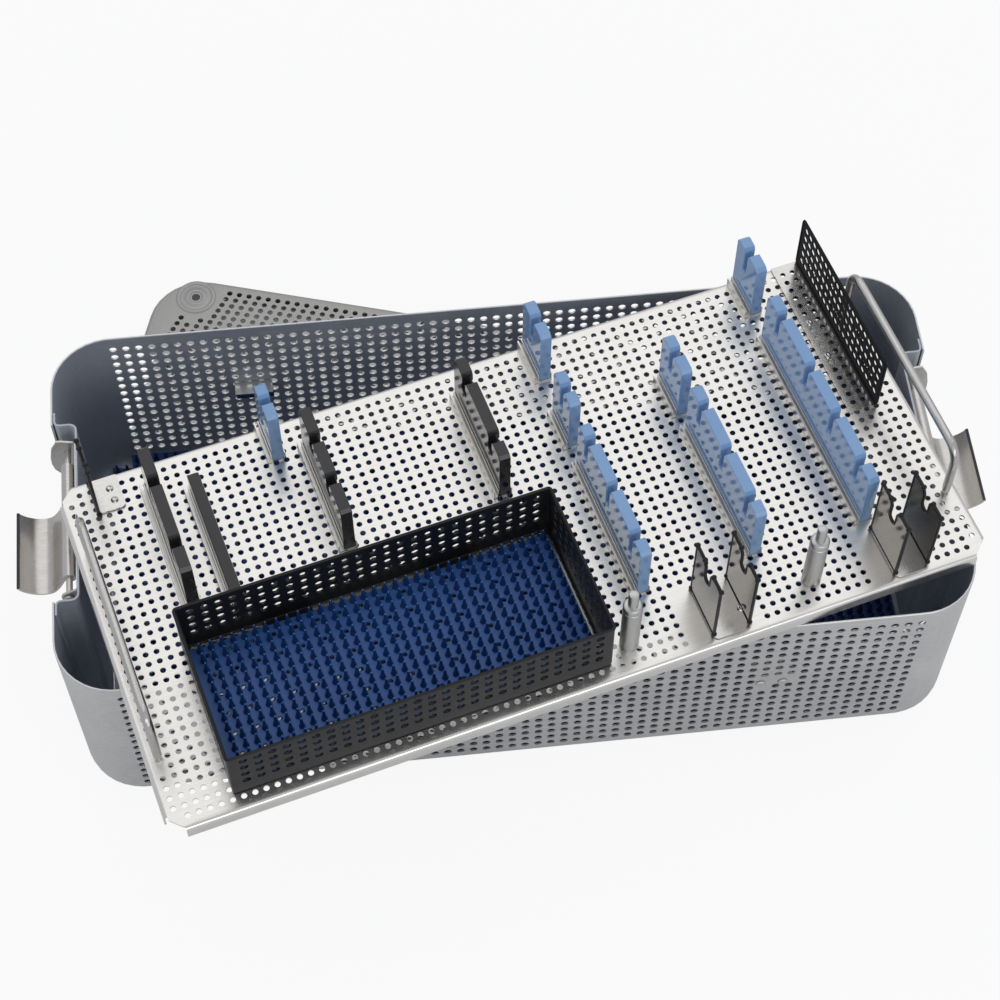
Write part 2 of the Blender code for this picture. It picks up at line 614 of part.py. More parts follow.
def main():
    clear_scene()
    looks = {
        "lid": material("lid_metal", (0.42, 0.40, 0.38), 0.5, 1.0),
        "shell": material("basket_metal", (0.62, 0.62, 0.62), 0.36, 1.0),
        "tray": material("tray_metal", (0.74, 0.72, 0.70), 0.3, 1.0),
        "steel": material("fitting_steel", (0.60, 0.58, 0.55), 0.28, 1.0),
        "blue": material("blue_silicone", (0.16, 0.36, 0.66), 0.45),
        "black": material("black_plastic", (0.022, 0.022, 0.025), 0.35),
        "strip": material("black_silicone", (0.05, 0.05, 0.053), 0.5),
        "mat": material("mat_silicone", (0.012, 0.06, 0.2), 0.4),
    }
    frames = {
        "lid": frame_at("lid_frame", *LID_AT, 0.0, LID_TURN),
        "basket": frame_at("basket_frame", *BASKET_AT, BASKET_FLOOR_Z),
        "tray": frame_at("tray_frame", *TRAY_AT, TRAY_TOP_Z, TRAY_TURN),
    }
    basket, tray = frames["basket"], frames["tray"]
    make_lid(looks["lid"], frames["lid"])

    holes = rivet_holes(basket)
    make_basket(looks["shell"], basket, holes)
    for side, word in ((-1, "left"), (1, "right")):
        make_end_plate("end_plate_" + word, looks["shell"], basket, side)
        make_latch(side, word, looks, frames)
    for across, wall in ((-1, "front"), (1, "back")):
        for x, word in ((-149.0, "left"), (149.0, "right")):
            name = "support_bracket_" + wall + "_" + word
            make_bracket(name, looks["steel"], basket, x, across, holes)
        for number, x in enumerate(RIVET_X, 1):
            make_rivet(f"bracket_rivet_{wall}_{number}", looks["steel"], basket, x, across)
    mat = finger_mat(505.0, 222.0, 2.0, 11.0, 22, 9, 8.0)
    solid("floor_mat", *mat, looks["mat"], basket, at=(0.0, 0.0, SHEET + GAP))

    make_tray(looks["tray"], tray)
    make_handle("tray_handle_left", looks["steel"], tray, -242.0)
    make_handle("tray_handle_right", looks["steel"], tray, 242.0)
    metal = looks["steel"]
    black_combs = [
        (-195.6, (12.0, 99.5), (32.0, 75.0), 45.0),
        (-100.0, (18.0, 95.0), (42.0, 72.0), 42.0),
        (-3.0, (20.0, 96.0), (35.7, 79.3), 42.0),
    ]
    for number, (u, v, slots, top) in enumerate(black_combs, 1):
        name = f"black_comb_{number}"
        make_holder(name, looks["strip"], metal, tray, u, v, slots, top, True)
    make_holder("black_bar", looks["strip"], metal, tray, -171.9, (-3.0, 88.7), (), 20.0)
    blue_combs = [
        (-119.8, (90.5, 117.0), (104.5,)),
        (49.0, (87.8, 117.0), (102.6,)),
        (47.4, (37.3, 63.3), (50.2,)),
        (47.2, (-70.0, 24.0), (-56.2, -22.0, 11.2)),
        (117.3, (35.2, 64.4), (51.0,)),
        (118.2, (-69.5, 25.5), (-56.2, -22.2, 10.5)),
        (189.0, (87.6, 115.6), (103.0,)),
        (187.8, (-72.0, 69.0), (-56.2, -22.2, 13.0, 52.8)),
    ]
    for number, (u, v, slots) in enumerate(blue_combs, 1):
        make_holder(f"blue_comb_{number}", looks["blue"], metal, tray, u, v, slots)
    make_notch_bracket(
        "notch_bracket_inner", metal, tray, (75.0, 97.2), (74.3, 97.9), (-113.0, -76.5),
        (-109.5, -77.0), 50.0,
    )
    make_notch_bracket(
        "notch_bracket_outer", metal, tray, (189.8, 210.3), (189.1, 211.0),
        (-113.5, -77.0), (-110.0, -77.5), 50.0,
    )
    make_notch_bracket(
        "notch_bracket_back", metal, tray, (-229.5,), (-230.2, -212.8), (91.8, 115.0),
        (91.5, 114.5), 47.0,
    )
    make_post("post_left", metal, tray, 27.8, -96.8)
    make_post("post_right", metal, tray, 142.4, -95.7)
    plate = box((229.6, 231.0), (0.0, 116.0), (GAP + 1.2 + GAP, 42.7))
    solid("divider_plate", *plate, looks["black"], tray)
    foot = box((212.5, 232.5), (0.0, 116.0), (GAP, GAP + 1.2))
    solid("divider_foot", *foot, metal, tray)
    make_parts_basket(looks, tray)


main()
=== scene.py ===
"""Sterilization basket, dressed: perforated sheet metal, silicone holders and finger mats.
Flat shapes are in millimetres in the frame of their own group, and placed() turns them into
metres in the frame of the whole object."""
import math

import bpy
import numpy as np
from mathutils import Matrix, Vector
from mathutils.geometry import delaunay_2d_cdt


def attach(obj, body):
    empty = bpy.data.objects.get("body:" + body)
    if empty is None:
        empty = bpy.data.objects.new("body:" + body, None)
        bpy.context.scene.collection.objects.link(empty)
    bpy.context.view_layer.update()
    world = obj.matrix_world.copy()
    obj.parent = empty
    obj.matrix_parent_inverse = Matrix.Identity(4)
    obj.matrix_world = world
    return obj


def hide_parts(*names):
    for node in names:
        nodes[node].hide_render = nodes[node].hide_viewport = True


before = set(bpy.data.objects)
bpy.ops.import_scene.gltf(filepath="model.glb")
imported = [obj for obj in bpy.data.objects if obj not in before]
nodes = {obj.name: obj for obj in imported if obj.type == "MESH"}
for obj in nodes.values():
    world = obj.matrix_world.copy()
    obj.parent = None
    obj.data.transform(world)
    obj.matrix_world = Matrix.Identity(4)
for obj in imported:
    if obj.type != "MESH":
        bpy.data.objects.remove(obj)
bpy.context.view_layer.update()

# Camera, floor and light: a lens that looks down from the front onto a pale table top.
# The table is a wide plane under one soft overhead panel, with a dimmer one in front.
CAMERA_AT = (-0.08197, -0.74372, 1.30029)
CAMERA_RIGHT = Vector((0.99314, -0.11565, 0.01745))
CAMERA_AHEAD = Vector((0.07337, 0.49983, -0.86301))
camera_data = bpy.data.cameras.new("camera")
camera_data.lens = 81.51
camera_data.sensor_width = 36.0
camera_data.shift_x = -0.0418
camera_data.shift_y = 0.0434
camera_data.clip_end = 30.0
camera = bpy.data.objects.new("camera", camera_data)
camera_up = CAMERA_RIGHT.cross(CAMERA_AHEAD).normalized()
camera_turn = Matrix((CAMERA_RIGHT, camera_up, -CAMERA_AHEAD)).transposed().to_4x4()
camera.matrix_world = Matrix.Translation(CAMERA_AT) @ camera_turn
bpy.context.scene.collection.objects.link(camera)
bpy.context.scene.camera = camera
bpy.context.scene.view_settings.view_transform = "Standard"


def panel(name, at, size, power, colour, look_at=(0.0, 0.0, 0.1)):
    """A soft square light panel that faces the object."""
    data = bpy.data.lights.new(name, "AREA")
    data.shape = "RECTANGLE"
    data.size, data.size_y = size
    data.energy = power
    data.color = colour
    lamp = bpy.data.objects.new(name, data)
    lamp.location = at
    away = Vector(at) - Vector(look_at)
    lamp.rotation_euler = away.to_track_quat("Z", "Y").to_euler()
    bpy.context.scene.collection.objects.link(lamp)


panel("panel_over", (0.12, 1.0, 1.9), (2.4, 1.8), 7.2, (1.0, 0.985, 0.96))
panel("panel_front", (0.5, -1.8, 1.3), (1.6, 1.0), 8.0, (0.97, 0.985, 1.0))
world = bpy.data.worlds.new("studio")
bpy.context.scene.world = world
world.use_nodes = True
world.node_tree.nodes["Background"].inputs["Color"].default_value = (0.93, 0.95, 1.0, 1.0)
world.node_tree.nodes["Background"].inputs["Strength"].default_value = 0.60


def node_of(tree, kind, **values):
    """A new shader node with its properties, and its inputs where a value names one."""
    made = tree.nodes.new(kind)
    for key, value in values.items():
        if key in made.inputs:
            made.inputs[key].default_value = value
        else:
            setattr(made, key.lower(), value)
    return made


def wire(tree, *joins):
    """Links in a node tree, each given as (node, its output, next node, its input)."""
    for source, out, target, into in joins:
        tree.links.new(source.outputs[out], target.inputs[into])


# The lid's place on the table, in millimetres and degrees, and its plan. The shade below it
# ends a little inside its edge.
MM = 0.001
LID_AT, LID_TURN = (10.74, 53.15, 0.0), -16.84
LID_LENGTH, LID_WIDTH, LID_TOP = 542.0, 249.0, 11.0
SHADE_LENGTH, SHADE_WIDTH, SHADE_CORNER = LID_LENGTH - 18.0, LID_WIDTH - 9.0, 47.0


def floor_material():
    """Pale table top. The camera itself sees it a little brighter than it lights, but not
    in the lid's shade, which is where a point's distance past an inner rectangle is less
    than the shade's corner radius."""
    look = bpy.data.materials.new("table_top")
    look.use_nodes = True
    tree = look.node_tree
    shader = tree.nodes["Principled BSDF"]
    shader.inputs["Base Color"].default_value = (0.82, 0.82, 0.82, 1.0)
    shader.inputs["Roughness"].default_value = 0.85
    shader.inputs["Specular IOR Level"].default_value = 0.1
    middle = tuple(Vector(LID_AT) * MM)
    inner = [(size / 2 - SHADE_CORNER) * MM for size in (SHADE_LENGTH, SHADE_WIDTH)]
    place = tree.nodes.new("ShaderNodeTexCoord")
    turned = node_of(
        tree, "ShaderNodeVectorRotate", rotation_type="Z_AXIS", Center=middle,
        Angle=math.radians(-LID_TURN),
    )
    wire(tree, (place, "Object", turned, "Vector"))
    last = turned
    for work, value in (
        ("SUBTRACT", middle), ("ABSOLUTE", None), ("SUBTRACT", (*inner, 0.01)),
        ("MAXIMUM", (0.0, 0.0, 0.0)), ("LENGTH", None),
    ):
        step = node_of(tree, "ShaderNodeVectorMath", operation=work)
        if value:
            step.inputs[1].default_value = value
        wire(tree, (last, 0, step, 0))
        last = step
    shaded = node_of(tree, "ShaderNodeMath", operation="LESS_THAN")
    shaded.inputs[1].default_value = SHADE_CORNER * MM
    own_glow = tree.nodes.new("ShaderNodeMapRange")
    own_glow.inputs["To Min"].default_value = 0.90
    own_glow.inputs["To Max"].default_value = 0.0
    path = tree.nodes.new("ShaderNodeLightPath")
    share = node_of(tree, "ShaderNodeMath", operation="MULTIPLY")
    glow = node_of(tree, "ShaderNodeEmission", Color=(1.0, 1.0, 1.0, 1.0), Strength=1.0)
    mix = tree.nodes.new("ShaderNodeMixShader")
    wire(
        tree, (last, "Value", shaded, 0), (shaded, 0, own_glow, "Value"),
        (path, "Is Camera Ray", share, 0), (own_glow, 0, share, 1), (share, 0, mix, 0),
        (shader, 0, mix, 1), (glow, 0, mix, 2),
        (mix, 0, tree.nodes["Material Output"], "Surface"),
    )
    return look


table_mesh = bpy.data.meshes.new("table_top")
reach = 6.0
table_mesh.from_pydata(
    [(-reach, -reach, -0.0005), (reach, -reach, -0.0005), (reach, reach, -0.0005),
     (-reach, reach, -0.0005)], [], [(0, 1, 2, 3)],
)
table_mesh.materials.append(floor_material())
table = bpy.data.objects.new("table_top", table_mesh)
bpy.context.scene.collection.objects.link(table)


# Lid: flat perforated plate under the basket, blasted grey metal, with a skirt and a hem
# folded under it. It is one skin with a front and a back point at each spot.
SHEET, CORNER = 1.2, 36.0
LID_PITCH, LID_ROW, LID_LEAN, LID_HOLE = 6.93, 5.31, 1.49, 2.0
LID_FIRST = (-220.9, 116.2)
FOOT_INSET, FOOT_CLEAR, HOLES_END = (27.6, 16.0), 19.0, 254.3


def placed(points, at, turn=0.0):
    """Points of a group's frame, in mm, as metres in the frame of the object."""
    angle = math.radians(turn)
    cos, sin = math.cos(angle), math.sin(angle)
    points = np.asarray(points, float)
    x = points[:, 0] * cos - points[:, 1] * sin + at[0]
    y = points[:, 0] * sin + points[:, 1] * cos + at[1]
    return np.column_stack([x, y, points[:, 2] + at[2]]) * MM


def rounded_outline(corners, inset=0.0, steps=8):
    """The outline through corners (x, y, radius), counter-clockwise, moved inwards by inset:
    each corner becomes an arc whose radius shrinks or grows by the inset."""
    points = []
    spots = [np.array(corner[:2], float) for corner in corners]
    for index, corner in enumerate(corners):
        here = spots[index]
        coming = here - spots[index - 1]
        going = spots[(index + 1) % len(spots)] - here
        coming /= np.linalg.norm(coming)
        going /= np.linalg.norm(going)
        normal_in = np.array([coming[1], -coming[0]])
        normal_out = np.array([going[1], -going[0]])
        side = 1.0 if coming[0] * going[1] - coming[1] * going[0] > 0 else -1.0
        spot = here - inset * (normal_in + normal_out) / (1.0 + normal_in @ normal_out)
        radius = max(corner[2] - side * inset, 0.3)
        bend = math.acos(max(-1.0, min(1.0, float(coming @ going))))
        centre = spot - coming * radius * math.tan(bend / 2) - side * normal_in * radius
        angles = side * bend * np.arange(steps + 1) / steps
        cos, sin = np.cos(angles), np.sin(angles)
        away = np.column_stack([
            normal_in[0] * cos - normal_in[1] * sin,
            normal_in[0] * sin + normal_in[1] * cos,
        ])
        points.append(centre + side * away * radius)
    return np.concatenate(points)


def cells(s, t, state, radius, sides=12):
    """Flat points and polygons over the lines s and t. A cell whose state is 1 has a round
    hole in its middle, 0 is plain and -1 is left out. A polygon is four indices, and -1
    stands last in a triangle."""
    grid = np.arange(len(s) * len(t)).reshape(len(s), len(t))
    spots = np.stack(np.meshgrid(s, t, indexing="ij"), axis=-1).reshape(-1, 2)
    corner = np.stack([grid[:-1, :-1], grid[1:, :-1], grid[1:, 1:], grid[:-1, 1:]], axis=-1)
    plain = corner[state == 0]
    around = corner[state == 1]
    middle = spots[around].mean(axis=1)
    size = np.broadcast_to(radius, state.shape)[state == 1]
    angles = np.radians(-135.0) + np.arange(sides) * 2 * math.pi / sides
    circle = np.column_stack([np.cos(angles), np.sin(angles)])
    holes = (middle[:, None] + size[:, None, None] * circle).reshape(-1, 2)
    first = len(spots) + np.arange(len(around)) * sides
    quarter = sides // 4
    turn_at = (quarter + 1) // 2
    none = np.full(len(around), -1)
    polygons = [plain]
    for m in range(4):
        a, b = around[:, m], around[:, (m + 1) % 4]
        for k in range(quarter):
            low = first + (m * quarter + k) % sides
            high = first + (m * quarter + k + 1) % sides
            apex = a if k < turn_at else b
            polygons.append(np.column_stack([apex, high, low, none]))
        top = first + (m * quarter + turn_at) % sides
        polygons.append(np.column_stack([a, b, top, none]))
    return np.vstack([spots, holes]), np.vstack(polygons)


def edges_of(polygons):
    """Every directed edge of the polygons, as pairs of indices."""
    a, b, c, d = polygons.T
    three = d < 0
    last = np.where(three, a, d)
    return np.concatenate([
        np.column_stack([a, b]), np.column_stack([b, c]), np.column_stack([c, last]),
        np.column_stack([d, a])[~three],
    ])


def open_edges(polygons):
    """The directed edges that belong to one polygon only."""
    edges = edges_of(polygons)
    pairs = np.sort(edges, axis=1)
    key = pairs[:, 0] * (pairs.max() + 1) + pairs[:, 1]
    _, where, count = np.unique(key, return_inverse=True, return_counts=True)
    return edges[count[where] == 1]


def inside(loop, spots):
    """Which spots lie inside a closed loop: an odd number of its edges is to their right."""
    x, y = spots[:, 0], spots[:, 1]
    found = np.zeros(len(spots), bool)
    for a, b in zip(loop, np.roll(loop, -1, axis=0)):
        if a[1] == b[1]:
            continue
        crosses = (a[1] > y) != (b[1] > y)
        at = a[0] + (y - a[1]) * (b[0] - a[0]) / (b[1] - a[1])
        found ^= crosses & (x < at)
    return found


def fill_between(loop, spots, polygons, covered, grid_count):
    """Triangles between an outer loop and a patch of cells inside it. covered tells for
    points which of them the patch itself fills."""
    rim = open_edges(polygons)
    rim = rim[(rim < grid_count).all(axis=1)]
    used, where = np.unique(rim, return_inverse=True)
    every = np.vstack([loop, spots[used]])
    count = len(loop)
    edges = [(i, (i + 1) % count) for i in range(count)]
    edges += [(int(a) + count, int(b) + count) for a, b in where.reshape(-1, 2)]
    found = delaunay_2d_cdt([Vector(p) for p in every.tolist()], edges, [], 0, 1e-5)
    points = np.array([every[old[0]] if old else new[:] for new, old in zip(found[0], found[3])])
    triangles = np.array(found[2])
    a, b, c = points[triangles[:, 0]], points[triangles[:, 1]], points[triangles[:, 2]]
    area = (b - a)[:, 0] * (c - a)[:, 1] - (b - a)[:, 1] * (c - a)[:, 0]
    middle = (a + b + c) / 3
    keep = inside(loop, middle) & ~covered(middle) & (np.abs(area) > 1e-7)
    triangles[area < 0] = triangles[area < 0][:, ::-1]
    triangles = triangles[keep]
    return points, np.column_stack([triangles, np.full(len(triangles), -1)])


def thicken(*skins):
    """One closed body from skins (front points, back points, polygons). Points that coincide
    are joined, and each open edge gets a wall from front to back. It returns the points, the
    polygons and, for each polygon, 1 where it is on the back."""
    fronts, backs, polygons, start = [], [], [], 0
    for front, back, faces in skins:
        fronts.append(front)
        backs.append(back)
        polygons.append(np.where(faces < 0, -1, faces + start))
        start += len(front)
    front, back = np.concatenate(fronts), np.concatenate(backs)
    polygons = np.concatenate(polygons)
    key = np.round(front, 3) + 0.0
    _, kept, index = np.unique(key, axis=0, return_index=True, return_inverse=True)
    polygons = np.where(polygons < 0, -1, index.reshape(-1)[polygons])
    used, place = np.unique(polygons[polygons >= 0], return_inverse=True)
    polygons[polygons >= 0] = place.reshape(-1)
    front, back = front[kept][used], back[kept][used]
    count = len(front)
    edge = open_edges(polygons)
    a, b = edge[:, 0], edge[:, 1]
    walls = np.column_stack([b, a, a + count, b + count])
    p, q, r, s = polygons.T
    three = s < 0
    behind = np.where(
        three[:, None],
        np.column_stack([r + count, q + count, p + count, np.full(len(p), -1)]),
        np.column_stack([s + count, r + count, q + count, p + count]),
    )
    faces = np.concatenate([polygons, walls, behind])
    side = np.concatenate([np.zeros(len(polygons) + len(walls), int), np.ones(len(behind), int)])
    return np.concatenate([front, back]), faces, side


def listed(faces):
    """Polygons as lists, without the -1 that stands last in a triangle."""
    if isinstance(faces, np.ndarray):
        return [face[:3] if face[-1] < 0 else face for face in faces.tolist()]
    return faces


def add_piece(name, points, faces, looks, body, side=None, angle=38.0, stands_for=()):
    """A visible piece from points in metres and polygons, smooth up to an angle."""
    mesh = bpy.data.meshes.new(name)
    mesh.from_pydata(np.asarray(points, float).tolist(), [], listed(faces))
    for look in looks:
        mesh.materials.append(look)
    if side is not None:
        mesh.polygons.foreach_set("material_index", np.asarray(side, np.int32))
    mesh.polygons.foreach_set("use_smooth", [True] * len(mesh.polygons))
    mesh.set_sharp_from_angle(angle=math.radians(angle))
    mesh.update()
    piece = bpy.data.objects.new(name, mesh)
    bpy.context.scene.collection.objects.link(piece)
    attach(piece, body)
    if stands_for:
        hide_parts(*stands_for)


def grain_group():
    """Shared surface grain. It gives a streak value along one direction, a slow blotch value
    and a bumped normal, all from noise on object coordinates."""
    group = bpy.data.node_groups.new("sheet_grain", "ShaderNodeTree")
    for name, way, kind in (
        ("Turn", "INPUT", "Float"), ("Stretch", "INPUT", "Float"), ("Fine", "INPUT", "Float"),
        ("Bump", "INPUT", "Float"), ("Streak", "OUTPUT", "Float"),
        ("Blotch", "OUTPUT", "Float"), ("Normal", "OUTPUT", "Vector"),
    ):
        group.interface.new_socket(name, in_out=way, socket_type="NodeSocket" + kind)
    enter = group.nodes.new("NodeGroupInput")
    leave = group.nodes.new("NodeGroupOutput")
    place = group.nodes.new("ShaderNodeTexCoord")
    turned = node_of(group, "ShaderNodeVectorRotate", rotation_type="Z_AXIS")
    shape = node_of(group, "ShaderNodeCombineXYZ", Y=1.0, Z=1.0)
    stretched = node_of(group, "ShaderNodeVectorMath", operation="MULTIPLY")
    streak = node_of(group, "ShaderNodeTexNoise", Detail=3.0, Roughness=0.6)
    blotch = node_of(group, "ShaderNodeTexNoise", Scale=16.0, Detail=4.0, Roughness=0.55)
    fine = node_of(group, "ShaderNodeTexNoise", Detail=2.0, Roughness=0.5)
    add = node_of(group, "ShaderNodeMath", operation="ADD")
    bump = node_of(group, "ShaderNodeBump", Distance=0.0004)
    wire(
        group, (place, "Object", turned, "Vector"), (enter, "Turn", turned, "Angle"),
        (enter, "Stretch", shape, "X"), (turned, 0, stretched, 0), (shape, 0, stretched, 1),
        (stretched, 0, streak, "Vector"), (enter, "Fine", streak, "Scale"),
        (turned, 0, blotch, "Vector"), (turned, 0, fine, "Vector"),
        (enter, "Fine", fine, "Scale"), (streak, 0, add, 0), (fine, 0, add, 1),
        (add, 0, bump, "Height"), (enter, "Bump", bump, "Strength"),
        (streak, 0, leave, "Streak"), (blotch, 0, leave, "Blotch"), (bump, 0, leave, "Normal"),
    )
    return group


GRAIN = grain_group()


def surface(name, low, high, rough, metallic=1.0, turn=0.0, stretch=0.05, fine=900.0,
            bump=0.15, specular=0.5):
    """A material whose colour runs between two tones along its streaks and whose roughness
    runs between two values over its blotches."""
    look = bpy.data.materials.new(name)
    look.use_nodes = True
    tree = look.node_tree
    shader = tree.nodes["Principled BSDF"]
    shader.inputs["Metallic"].default_value = metallic
    shader.inputs["Specular IOR Level"].default_value = specular
    grain = tree.nodes.new("ShaderNodeGroup")
    grain.node_tree = GRAIN
    for socket, value in (
        ("Turn", math.radians(turn)), ("Stretch", stretch), ("Fine", fine), ("Bump", bump),
    ):
        grain.inputs[socket].default_value = value
    tone = node_of(tree, "ShaderNodeMath", operation="ADD")
    half = node_of(tree, "ShaderNodeMath", operation="MULTIPLY")
    half.inputs[1].default_value = 0.5
    ramp = tree.nodes.new("ShaderNodeValToRGB")
    for stop, position, colour in zip(ramp.color_ramp.elements, (0.35, 0.65), (low, high)):
        stop.position = position
        stop.color = (*colour, 1.0)
    spread = tree.nodes.new("ShaderNodeMapRange")
    for socket, value in (
        ("From Min", 0.3), ("From Max", 0.7), ("To Min", rough[0]), ("To Max", rough[1]),
    ):
        spread.inputs[socket].default_value = value
    wire(
        tree, (grain, "Streak", tone, 0), (grain, "Blotch", tone, 1), (tone, 0, half, 0),
        (half, 0, ramp, "Fac"), (ramp, "Color", shader, "Base Color"),
        (grain, "Blotch", spread, "Value"), (spread, 0, shader, "Roughness"),
        (grain, "Normal", shader, "Normal"),
    )
    return look


lid_look = surface(
    "lid_grey", (0.39, 0.385, 0.37), (0.48, 0.47, 0.455), (0.42, 0.54), 0.9, LID_TURN, 1.0,
    1400.0, 0.3,
)
lid_x, lid_y = LID_LENGTH / 2, LID_WIDTH / 2
lid_half, lid_notch = 59.5, 15.0
lid_right = [
    (lid_x, -lid_y, CORNER), (lid_x, -lid_half, 6.0), (lid_x - lid_notch, -lid_half, 6.0),
    (lid_x - lid_notch, lid_half, 6.0), (lid_x, lid_half, 6.0), (lid_x, lid_y, CORNER),
]
lid_corners = lid_right + [(-a, -b, r) for a, b, r in lid_right]
lid_edge = rounded_outline(lid_corners, 3.0)
columns, rows = np.arange(-6, 88), np.arange(-1, 46)
lid_v = LID_FIRST[1] + LID_ROW / 2 - LID_ROW * rows[::-1]
lid_s = LID_PITCH * (columns - 0.5)


def lid_lean(flat):
    """Lattice coordinates to lid coordinates: every row is shifted a little sideways."""
    lean = LID_LEAN * (LID_FIRST[1] - flat[:, 1]) / LID_ROW
    return np.column_stack([flat[:, 0] + LID_FIRST[0] - lean, flat[:, 1]])


mid_s, mid_t = np.meshgrid(
    (lid_s[1:] + lid_s[:-1]) / 2, (lid_v[1:] + lid_v[:-1]) / 2, indexing="ij",
)
centres = lid_lean(np.column_stack([mid_s.ravel(), mid_t.ravel()]))
foot_spots = [
    (a * (lid_x - FOOT_INSET[0]), b * (lid_y - FOOT_INSET[1])) for a in (-1, 1) for b in (-1, 1)
]
clear = inside(rounded_outline(lid_corners, 8.0), centres)
for foot in foot_spots:
    clear &= np.hypot(*(centres - foot).T) > FOOT_CLEAR
clear &= np.abs(centres[:, 0]) < HOLES_END
lid_state = np.where(clear, 1, -1).reshape(mid_s.shape)
flat, faces = cells(lid_s, lid_v, lid_state, LID_HOLE, 8)


def lid_covered(spots):
    """Whether a spot of the lid lies in a cell that holds a hole."""
    s = spots[:, 0] - LID_FIRST[0] + LID_LEAN * (LID_FIRST[1] - spots[:, 1]) / LID_ROW
    i = np.searchsorted(lid_s, s) - 1
    j = np.searchsorted(lid_v, spots[:, 1]) - 1
    good = (i >= 0) & (j >= 0) & (i < lid_state.shape[0]) & (j < lid_state.shape[1])
    return good & (lid_state[i * good, j * good] == 1)


# A round hole must stay round where its cell leans, so only the grid points lean.
grid_count = len(lid_s) * len(lid_v)
hole_points = flat[grid_count:].reshape(-1, 8, 2)
hole_mid = hole_points.mean(axis=1)
lean_mid = lid_lean(hole_mid)
flat = np.vstack([
    lid_lean(flat[:grid_count]),
    (hole_points - hole_mid[:, None] + lean_mid[:, None]).reshape(-1, 2),
])
rim_points, rim_faces = fill_between(lid_edge, flat, faces, lid_covered, grid_count)


def level(spots, height):
    """Flat points, all at one height."""
    return np.column_stack([spots, np.full(len(spots), height)])


def ring_skin(fronts, backs):
    """Skin through closed rings of points, from the inner or upper ring outwards."""
    count = len(fronts[0])
    polygons = []
    i = np.arange(count)
    j = (i + 1) % count
    for k in range(len(fronts) - 1):
        a, b = k * count, (k + 1) * count
        polygons.append(np.column_stack([a + i, b + i, b + j, a + j]))
    return np.concatenate(fronts), np.concatenate(backs), np.concatenate(polygons)


lid_profile = [
    ((3.0, 11.0), (3.0, 9.8)), ((1.9, 10.75), (2.4, 9.6)), ((0.9, 10.1), (1.7, 9.2)),
    ((0.25, 9.1), (1.3, 8.6)), ((0.0, 8.0), (1.2, 8.0)), ((0.0, 0.7), (1.2, 1.6)),
    ((0.2, 0.2), (1.4, 1.3)), ((0.7, 0.0), (1.8, 1.2)), ((6.0, 0.0), (6.0, 1.2)),
]
skirt = ring_skin(
    [level(rounded_outline(lid_corners, outer[0]), outer[1]) for outer, _ in lid_profile],
    [level(rounded_outline(lid_corners, inner[0]), inner[1]) for _, inner in lid_profile],
)
lid_points, lid_faces, _ = thicken(
    (level(flat, LID_TOP), level(flat, LID_TOP - SHEET), faces),
    (level(rim_points, LID_TOP), level(rim_points, LID_TOP - SHEET), rim_faces),
    skirt,
)
add_piece(
    "lid_sheet", placed(lid_points, LID_AT, LID_TURN), lid_faces, [lid_look], "lid",
    stands_for=["lid_plate"],
)


def turned(profile, sides):
    """Round body from (radius, height) pairs that run from its bottom to its top."""
    angles = np.arange(sides) * 2 * math.pi / sides
    circle = np.column_stack([np.cos(angles), np.sin(angles)])
    points = np.concatenate([level(circle * radius, height) for radius, height in profile])
    i = np.arange(sides)
    j = (i + 1) % sides
    faces = [i[::-1].tolist()]
    for k in range(len(profile) - 1):
        a, b = k * sides, (k + 1) * sides
        faces += np.column_stack([a + i, a + j, b + j, b + i]).tolist()
    faces.append((i + (len(profile) - 1) * sides).tolist())
    return points, faces


def merged(*meshes):
    """Several (points, polygon lists) as one."""
    points, faces, start = [], [], 0
    for spots, polygons in meshes:
        points.append(spots)
        faces += [[start + index for index in polygon] for polygon in polygons]
        start += len(spots)
    return np.concatenate(points), faces


# Pressed stacking rings on the lid's corners: low round steps of the lid's own metal around
# a dark middle.
foot_profile = [
    (14.0, 10.9), (14.0, 11.05), (13.4, 11.6), (12.2, 11.8), (11.2, 11.55), (10.6, 11.06),
    (7.6, 11.05), (7.0, 11.5), (5.6, 11.8), (4.6, 11.5), (4.2, 11.05), (3.0, 11.02),
]
feet, foot_side = [], []
for foot in foot_spots:
    points, polygons = turned(foot_profile, 40)
    feet.append((points + (foot[0], foot[1], 0.0), polygons))
    foot_side += [0] * (len(polygons) - 1) + [1]
points, polygons = merged(*feet)
foot_dark = surface(
    "lid_foot_middle", (0.05, 0.05, 0.05), (0.08, 0.08, 0.08), (0.5, 0.6), 0.0, 0.0, 1.0,
    1400.0, 0.1,
)
add_piece(
    "lid_feet", placed(points, LID_AT, LID_TURN), polygons, [lid_look, foot_dark], "lid",
    foot_side,
)


# Basket: one wrapped stainless sheet with round corners, its long walls and floor
# perforated. Its wall is a grid along the outline and up the height, joined to the floor.
BASKET_AT = (-0.74, -26.3, 11.3)
BASKET_LENGTH, BASKET_WIDTH, BASKET_TOP = 538.0, 245.0, 140.0
POCKET_HALF, POCKET_IN = 61.2, 253.1
WALL_PITCH, WALL_HOLE, WALL_ROWS, ROWS_FROM = 8.0, 2.4, 15, 12.8
BOTTOM_BEND, TOP_EDGE = 12.0, 0.3
RIVET_X, RIVET_Z, RIVET_CLEAR = (-155.75, -142.25, 142.25, 155.75), 70.0, 5.6
shell_out = surface(
    "shell_steel", (0.58, 0.58, 0.575), (0.72, 0.72, 0.71), (0.32, 0.44), 1.0, 0.0, 0.04,
    700.0, 0.12,
)
# The inside faces get a darker, bluish copy of the steel: painted shade from the tray above and a
# painted reflection of the blue mats.
shell_in_painted_shade = surface(
    "shell_steel_inside_painted_shade", (0.42, 0.455, 0.51), (0.54, 0.575, 0.63), (0.42, 0.54), 0.5, 0.0,
    0.04, 700.0, 0.12,
)


